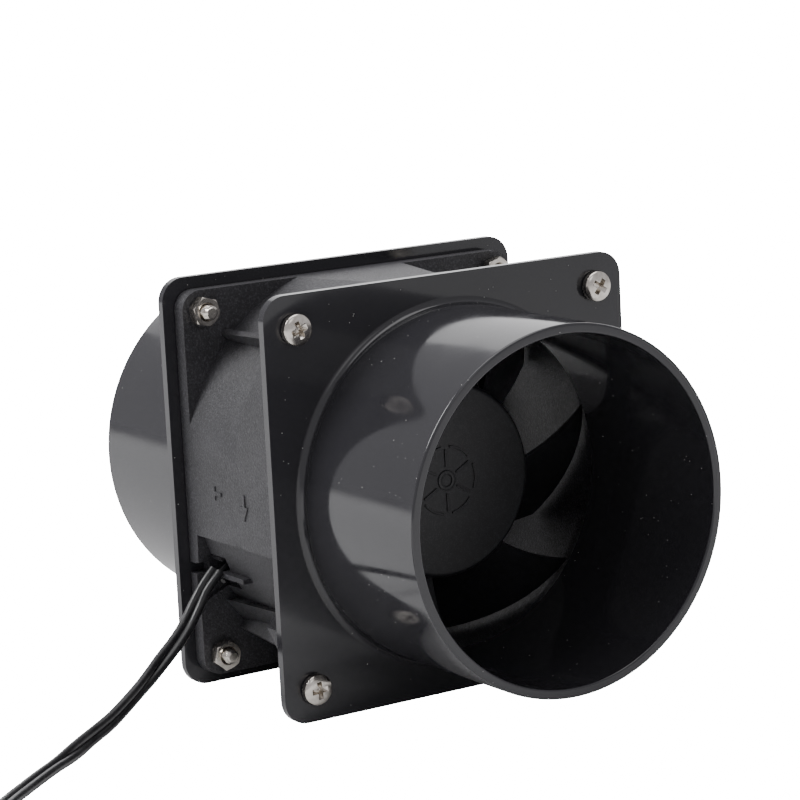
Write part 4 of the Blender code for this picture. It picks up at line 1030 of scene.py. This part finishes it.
def blade_tree():
    """Bend a unit block into a blade: X runs root to tip, Y leading to trailing edge, Z through it."""
    sizes = ("Root", "Tip", "Front", "Phase", "Sweep", "RootSpan", "TipSpan", "RootDepth", "TipDepth",
             "RootThick", "TipThick")
    tree, given, out = new_tree("bent_blade", **{label: "Float" for label in sizes})
    size = {label: Field(tree, given[label]) for label in sizes}
    block = add(tree, "GeometryNodeMeshCube", {"Size": (1, 1, 1), "Vertices X": 17, "Vertices Y": 33,
                                               "Vertices Z": 2}).outputs[0]
    position = add(tree, "GeometryNodeInputPosition").outputs[0]
    corner = add(tree, "ShaderNodeSeparateXYZ", {0: position}).outputs
    along, across = Field(tree, corner[0]) + 0.5, Field(tree, corner[1]) + 0.5
    side = Field(tree, corner[2]) * 2.0

    def between(first, second):
        return size[first] + (size[second] - size[first]) * along

    radius = between("Root", "Tip")
    span, depth, thick = (between("Root" + word, "Tip" + word) for word in ("Span", "Depth", "Thick"))
    belly = (across * 0.94 + 0.03) * math.pi
    half = thick * 0.5 * (belly.made("SINE") * 0.62 + 0.38) * side
    round_way = radius * span * -1.0
    axial_way = depth * (across * 0.76 + 0.62)
    run = (round_way * round_way + axial_way * axial_way).made("SQRT")
    angle = size["Phase"] + size["Sweep"] * along - span * across + half * axial_way / (run * radius)
    y = size["Front"] + depth * (across * 0.62 + across * across * 0.38) - half * round_way / run
    place = add(tree, "ShaderNodeCombineXYZ", {"X": (radius * angle.made("COSINE")).socket, "Y": y.socket,
                                               "Z": (radius * angle.made("SINE")).socket}).outputs[0]
    bent = add(tree, "GeometryNodeSetPosition", {"Geometry": block, "Position": place}).outputs[0]
    tree.links.new(bent, out[0])
    return tree


bent_blade = blade_tree()
print("blade formula uses", len(bent_blade.nodes), "nodes")

# %% [markdown]
# Seven blades, a hub with rounded edges, and on the hub's face a plain raised pattern: a ring, six
# spokes and a broken circle, which stiffen the moulding. The blades simply run into the hub.

# %% Impeller
HUB_RADIUS = 20.0 * MM
HUB_FACE = -FAN_FACE + 1.65 * MM
HUB_BACK = FAN_FACE - 8.35 * MM
BLADE_COUNT = 7
RELIEF, RAISED_WIDTH, ROOTED = 0.3 * MM, 0.5 * MM, 0.4 * MM


def hub():
    """A cup with a round front edge, and inside it the boss that the shaft is moulded into."""
    inner_radius, inner_face = HUB_RADIUS - 1.4 * MM, HUB_FACE + 2.0 * MM
    boss_radius, boss_end = 4.0 * MM, HUB_FACE + 6.2 * MM
    shaft_radius, shaft_end = 1.65 * MM, HUB_FACE + 1.3 * MM
    edge = arc((HUB_RADIUS - MM, HUB_FACE + MM), MM, -90, 0, 8)
    outline = [(0, HUB_FACE)] + edge + [
        (HUB_RADIUS, HUB_BACK), (inner_radius, HUB_BACK), (inner_radius, inner_face),
        (boss_radius, inner_face), (boss_radius, boss_end), (shaft_radius, boss_end),
        (shaft_radius, shaft_end), (0, shaft_end)]
    return smooth(turned("hub", outline, 128), 38)


def raised_bar(name, start, length):
    """A bar on the hub's face pointing outwards, a twelfth of a turn from +X."""
    bar = box(name, (start, HUB_FACE - RELIEF, -RAISED_WIDTH / 2),
              (start + length, HUB_FACE + ROOTED, RAISED_WIDTH / 2))
    return seed_of(softened(about_axis(bar, math.radians(30)), 0.1 * MM, 2))


def raised_arc(name, radius, half_angle):
    """Part of a ring on the hub's face, centred on +X."""
    outer = arc((0, 0), radius + RAISED_WIDTH / 2, -half_angle, half_angle, 14)
    inner = arc((0, 0), radius - RAISED_WIDTH / 2, half_angle, -half_angle, 14)
    return seed_of(softened(prism(name, outer + inner, HUB_FACE + ROOTED, HUB_FACE - RELIEF), 0.1 * MM, 2))


def blade_mesh():
    """Run the blade's tree once, then weld the block's corners and shade it smooth."""
    one_blade = grown("one_blade", bpy.data.meshes.new("empty"), bent_blade, Root=HUB_RADIUS - 0.7 * MM,
                      Tip=37.2 * MM, Front=HUB_FACE + 2.2 * MM, Phase=math.radians(3),
                      Sweep=math.radians(13), RootSpan=math.radians(50), TipSpan=math.radians(40),
                      RootDepth=22.0 * MM, TipDepth=17.0 * MM, RootThick=1.5 * MM, TipThick=1.0 * MM)
    shape = bmesh.new()
    shape.from_mesh(one_blade.data)
    bpy.data.objects.remove(one_blade, do_unlink=True)
    return seed_of(smooth(placed("blade", shape), 60))


repeats = [("blades", blade_mesh(), BLADE_COUNT), ("spokes", raised_bar("spoke", 2.7 * MM, 3.7 * MM), 6),
           ("broken_circle", raised_arc("circle_part", 6.9 * MM, 22.0), 6)]
impeller_parts = [grown(label, mesh, round_the_axis, Count=count, Step=-TAU / count, Height=0.0,
                        Material=impeller_finish_with_painted_shade) for label, mesh, count in repeats]
boss = ring("boss", 1.2 * MM, 2.1 * MM, HUB_FACE - RELIEF, HUB_FACE + ROOTED, 48)
impeller = gathered("impeller_moulding", [hub(), softened(boss, 0.1 * MM)] + impeller_parts)
impeller.data.materials.clear()
moved(dress(smooth(impeller, 40), impeller_finish_with_painted_shade), AXIS)
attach(impeller, "rotor")
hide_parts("impeller")
print("impeller", len(impeller.data.polygons), "faces")

# %% [markdown]
# ## The fan's housing
# Two square ears with a barrel between them. The barrel would be round, but where it reaches the sides of
# the square it is cut flat, so its flare shows as scallops. That is exactly how we build it: one turned
# spool, intersected with a square bar.

# %% Housing body
THROAT = 38.0 * MM
BARREL = 42.0 * MM
EAR_INNER = FAN_FACE - 3.5 * MM
LEAD_SIDE = math.radians(207)
OVER = 0.1 * MM


def spool():
    """Half outline of both ears, the drafted band and the flare towards the intake ear."""
    reach, band_front, flare_start, flare_growth, steps = FAN_SIDE, BARREL - 1.4 * MM, -2.5 * MM, 8.7 * MM, 10
    points = [(0, FAN_FACE), (reach, FAN_FACE), (reach, EAR_INNER), (BARREL, EAR_INNER),
              (band_front, flare_start)]
    for step in range(1, steps + 1):
        share = step / steps
        points.append((band_front + flare_growth * share ** 0.85,
                       flare_start + share * (-EAR_INNER - flare_start)))
    return points + [(reach, -EAR_INNER), (reach, -FAN_FACE), (0, -FAN_FACE)]


def bare_below_pad(body):
    """On the lead's side the flat ends in a pad; below it only the bare barrel is left."""
    bare = ring("bare", BARREL - 2.2 * MM, FAN_SIDE, -EAR_INNER + 0.15 * MM, EAR_INNER - 0.15 * MM, 144)
    region = box("below_pad", (-FAN_SIDE / 2 - 2 * MM, -FAN_FACE, -24.5 * MM), (-28 * MM, FAN_FACE, -10 * MM))
    return combined(body, combined(about_axis(bare, 0.01), region, "INTERSECT"), "DIFFERENCE")


body_outline = spool()
print("spool outline has", len(body_outline), "points")

# %% [markdown]
# Now the additions and cuts: a rib on each corner of the barrel, pockets where the nuts need room, bolt
# holes, and the air passage, which trims whatever reaches inside. Last come the window and the notch by
# which the lead leaves. Round cutters are turned a little, so that no facet of theirs lies exactly on a
# facet of the body, which the Boolean solver dislikes.

# %% Ribs, holes and the way out for the lead
def slab(name, outline, low, high):
    """An outline of (x, y) points pushed up."""
    return extruded(name, [(x, y, low) for x, y in outline], (0, 0, high - low))


def drilled(body, radius, near, far):
    """One round hole at each corner, its facets turned away from those it meets."""
    def drill():
        hole = turned("drill", [(0, near), (radius, near), (radius, far), (0, far)], 40)
        return about_axis(hole, math.radians(4))
    return combined(body, gathered("drills", at_corners(drill, HOLE_SPACING / 2, HOLE_SPACING / 2)),
                    "DIFFERENCE")


def ribbed(body):
    """A tapering rib on each corner of the barrel, higher at the intake."""
    for index in range(4):
        outline = [(BARREL - 1.5 * MM, EAR_INNER + MM), (BARREL + 1.8 * MM, EAR_INNER + MM),
                   (BARREL + 4.0 * MM, -EAR_INNER - MM), (BARREL - 1.5 * MM, -EAR_INNER - MM)]
        rib = about_axis(slab("rib", outline, -0.6 * MM, 0.6 * MM), math.radians(45 + 90 * index))
        combined(body, rib, "UNION")
    return body


def housing_body():
    """Spool, square bar, ribs, nut pockets, bolt holes, air passage, then the lead's way out."""
    past = FAN_FACE + MM
    body = turned("housing", body_outline, 144)
    combined(body, prism("bar", rounded_square(FAN_SIDE, 4.0 * MM, 8), -past, past), "INTERSECT")
    ribbed(bare_below_pad(body))
    nut_room, pocket = NUT_REACH + 0.5 * MM, 12.0 * MM
    drilled(body, nut_room, -EAR_INNER - OVER, -EAR_INNER + pocket)
    drilled(body, nut_room, EAR_INNER - pocket, EAR_INNER + OVER)
    drilled(body, BOLT_HOLE, -past, past)
    intake = THROAT + 0.9 * MM
    throat = [(0, -past), (intake, -past), (intake, -FAN_FACE), (THROAT, -FAN_FACE + 6 * MM), (THROAT, past),
              (0, past)]
    combined(body, turned("throat", throat, 144), "DIFFERENCE")
    window = box("window", (THROAT - 3 * MM, EAR_INNER - 6 * MM, -4 * MM),
                 (BARREL + 3 * MM, EAR_INNER + MM, 4 * MM))
    combined(body, about_axis(window, LEAD_SIDE), "DIFFERENCE")
    side, z = -FAN_SIDE / 2, THROAT * math.sin(LEAD_SIDE)
    notch = box("notch", (side - MM, EAR_INNER - MM, z - 1.1 * MM), (side + 3 * MM, past, z + 1.1 * MM))
    return combined(body, notch, "DIFFERENCE")


housing = housing_body()
print("housing body", len(housing.data.polygons), "faces")

# %% [markdown]
# Behind the rotor, a shallow cup carries the motor and a tube for the bearings. Four struts hold it, and
# the one on the lead's side is a channel in which the two inner leads lie. The outside gets what such a
# mould leaves: two plain raised arrows, for airflow and rotation, and a small ledge.

# %% Motor base, struts and marks
BASE_BACK = FAN_FACE - MM
STRUT_BACK = FAN_FACE - 1.2 * MM
STRUT_DEPTH = 5.0 * MM


def motor_base():
    """Half outline of the cup, the bearing tube and the step inside the tube that parts the bearings."""
    floor, cup_front = BASE_BACK - 3.0 * MM, HUB_BACK + 0.6 * MM
    label_floor = BASE_BACK - 0.6 * MM
    tube_front, step_front, step_back = HUB_FACE + 8.4 * MM, HUB_FACE + 12.4 * MM, floor - 3.7 * MM
    bore, step, tube = 4.15 * MM, 3.35 * MM, 5.4 * MM
    recess, inner, outer = 15.3 * MM, 19.1 * MM, 20.3 * MM
    outline = [(bore, tube_front), (tube, tube_front), (tube, floor), (inner, floor), (inner, cup_front),
               (outer, cup_front), (outer, BASE_BACK - 0.4 * MM), (outer - 0.4 * MM, BASE_BACK),
               (recess, BASE_BACK), (recess, label_floor), (bore, label_floor), (bore, step_back),
               (step, step_back), (step, step_front), (bore, step_front)]
    return about_axis(turned("base", outline, 96), math.radians(1))


def strutted(body):
    """Four struts from the motor base to the barrel; the lead's one is wide and hollowed to a channel."""
    front = STRUT_BACK - STRUT_DEPTH
    for index in range(4):
        half = 3.2 * MM if index == 0 else 1.1 * MM
        strut = box("strut", (19.7 * MM, front, -half), (THROAT + 1.2 * MM, STRUT_BACK, half))
        combined(body, about_axis(strut, LEAD_SIDE + TAU * index / 4), "UNION")
    channel = box("channel", (15.2 * MM, front - MM, -2.2 * MM),
                  (THROAT + 2.2 * MM, STRUT_BACK - 1.2 * MM, 2.2 * MM))
    return combined(body, about_axis(channel, LEAD_SIDE), "DIFFERENCE")


def flat_arrow(length, width, line):
    """Outline of an arrow that points along +a from the origin."""
    neck, head, shaft = length - width, width / 2, line / 2
    return [(0, -shaft), (neck, -shaft), (neck, -head), (length, 0), (neck, head), (neck, shaft), (0, shaft)]


def side_marks():
    """Raised arrows and a ledge on the flat of the lead's side."""
    skin, sunk, proud = -FAN_SIDE / 2, 0.3 * MM, 0.25 * MM
    marks = []
    for (y, z), (along_y, along_z) in (((4.0 * MM, 0.0), (1, 0)), ((-5.0 * MM, 1.3 * MM), (0, -1))):
        outline = [(y + a * along_y - b * along_z, z + a * along_z + b * along_y)
                   for a, b in flat_arrow(5.4 * MM, 3.0 * MM, 0.8 * MM)]
        marks.append(extruded("arrow", [(skin + sunk, at_y, at_z) for at_y, at_z in outline],
                              (-sunk - proud, 0, 0)))
    marks.append(box("ledge", (-37.4 * MM, 2.0 * MM, -18.6 * MM),
                     (-33.0 * MM, EAR_INNER + 0.5 * MM, -17.6 * MM)))
    return marks


combined(housing, motor_base(), "UNION")
strutted(housing)
housing = gathered("fan_housing_moulding", [softened(housing, 0.15 * MM, 2, 12)]
                   + [softened(mark, 0.1 * MM, 2) for mark in side_marks()])
moved(dress(smooth(housing, 12), housing_finish), AXIS)
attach(housing, "frame")
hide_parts("fan_housing")
print("housing", len(housing.data.polygons), "faces")

# %% [markdown]
# ## The studio
# The fan stands on a pale floor so wide that nothing else is in view. Black gloss shows only what it
# reflects, so the light is shaped by big soft panels: one above for the bright bands along the tops of
# the collars, one on the left for their sides, a weak one in front, and a wide one behind that the rear
# collar and the edges catch. The panels are hidden from the camera.

# %% Floor and lights
GLOW = 24.0


def soft_panel(name, place, aim, width, height, power):
    """A rectangular area light at a place, facing a point."""
    light = bpy.data.objects.new(name, bpy.data.lights.new(name, "AREA"))
    light.data.shape, light.data.size, light.data.size_y = "RECTANGLE", width, height
    light.data.energy = power
    light.location = place
    light.rotation_euler = (Vector(aim) - Vector(place)).to_track_quat("-Z", "Y").to_euler()
    light.visible_camera = False
    bpy.context.scene.collection.objects.link(light)
    return light


def pale_floor():
    """Light grey, and brighter to the eye than to the fan, as a lit sweep is in a studio."""
    material = bpy.data.materials.new("pale_floor")
    material.use_nodes = True
    tree = material.node_tree
    tree.nodes.remove(tree.nodes["Principled BSDF"])
    where = tree.nodes.new("ShaderNodeTexCoord").outputs["Object"]
    tone = blended(tree, noise(tree, where, 0.4), (0.80, 0.80, 0.80), (0.83, 0.83, 0.83))
    matte = add(tree, "ShaderNodeBsdfDiffuse", {"Color": tone}).outputs[0]
    glow = add(tree, "ShaderNodeEmission", {"Strength": GLOW}).outputs[0]
    lit = add(tree, "ShaderNodeAddShader", {0: matte, 1: glow}).outputs[0]
    seen = add(tree, "ShaderNodeLightPath").outputs["Is Camera Ray"]
    tree.links.new(add(tree, "ShaderNodeMixShader", {0: seen, 1: matte, 2: lit}).outputs[0],
                   tree.nodes["Material Output"].inputs["Surface"])
    return material


floor = box("floor", (-20, -20, -0.01), (20, 20, -0.2 * MM))
dress(floor, pale_floor())
world = bpy.data.worlds.new("studio")
bpy.context.scene.world = world
world.use_nodes = True
surround = world.node_tree.nodes["Background"]
surround.inputs["Color"].default_value = (0.97, 0.96, 1.0, 1.0)
surround.inputs["Strength"].default_value = 0.6
panels = [soft_panel("top_panel", (0.05, 0.10, 1.30), (0.0, 0.0, 0.05), 1.10, 1.10, 9.0),
          soft_panel("left_panel", (-0.75, 0.45, 0.85), (-0.03, 0.0, 0.05), 0.50, 0.50, 12.0),
          soft_panel("front_panel", (-0.10, -1.10, 0.75), (0.0, 0.0, 0.04), 0.50, 0.50, 0.8),
          soft_panel("back_panel", (0.85, 1.45, 0.55), (0.0, 0.0, 0.05), 2.60, 1.10, 12.0)]
print("studio lit by", len(panels), "panels")
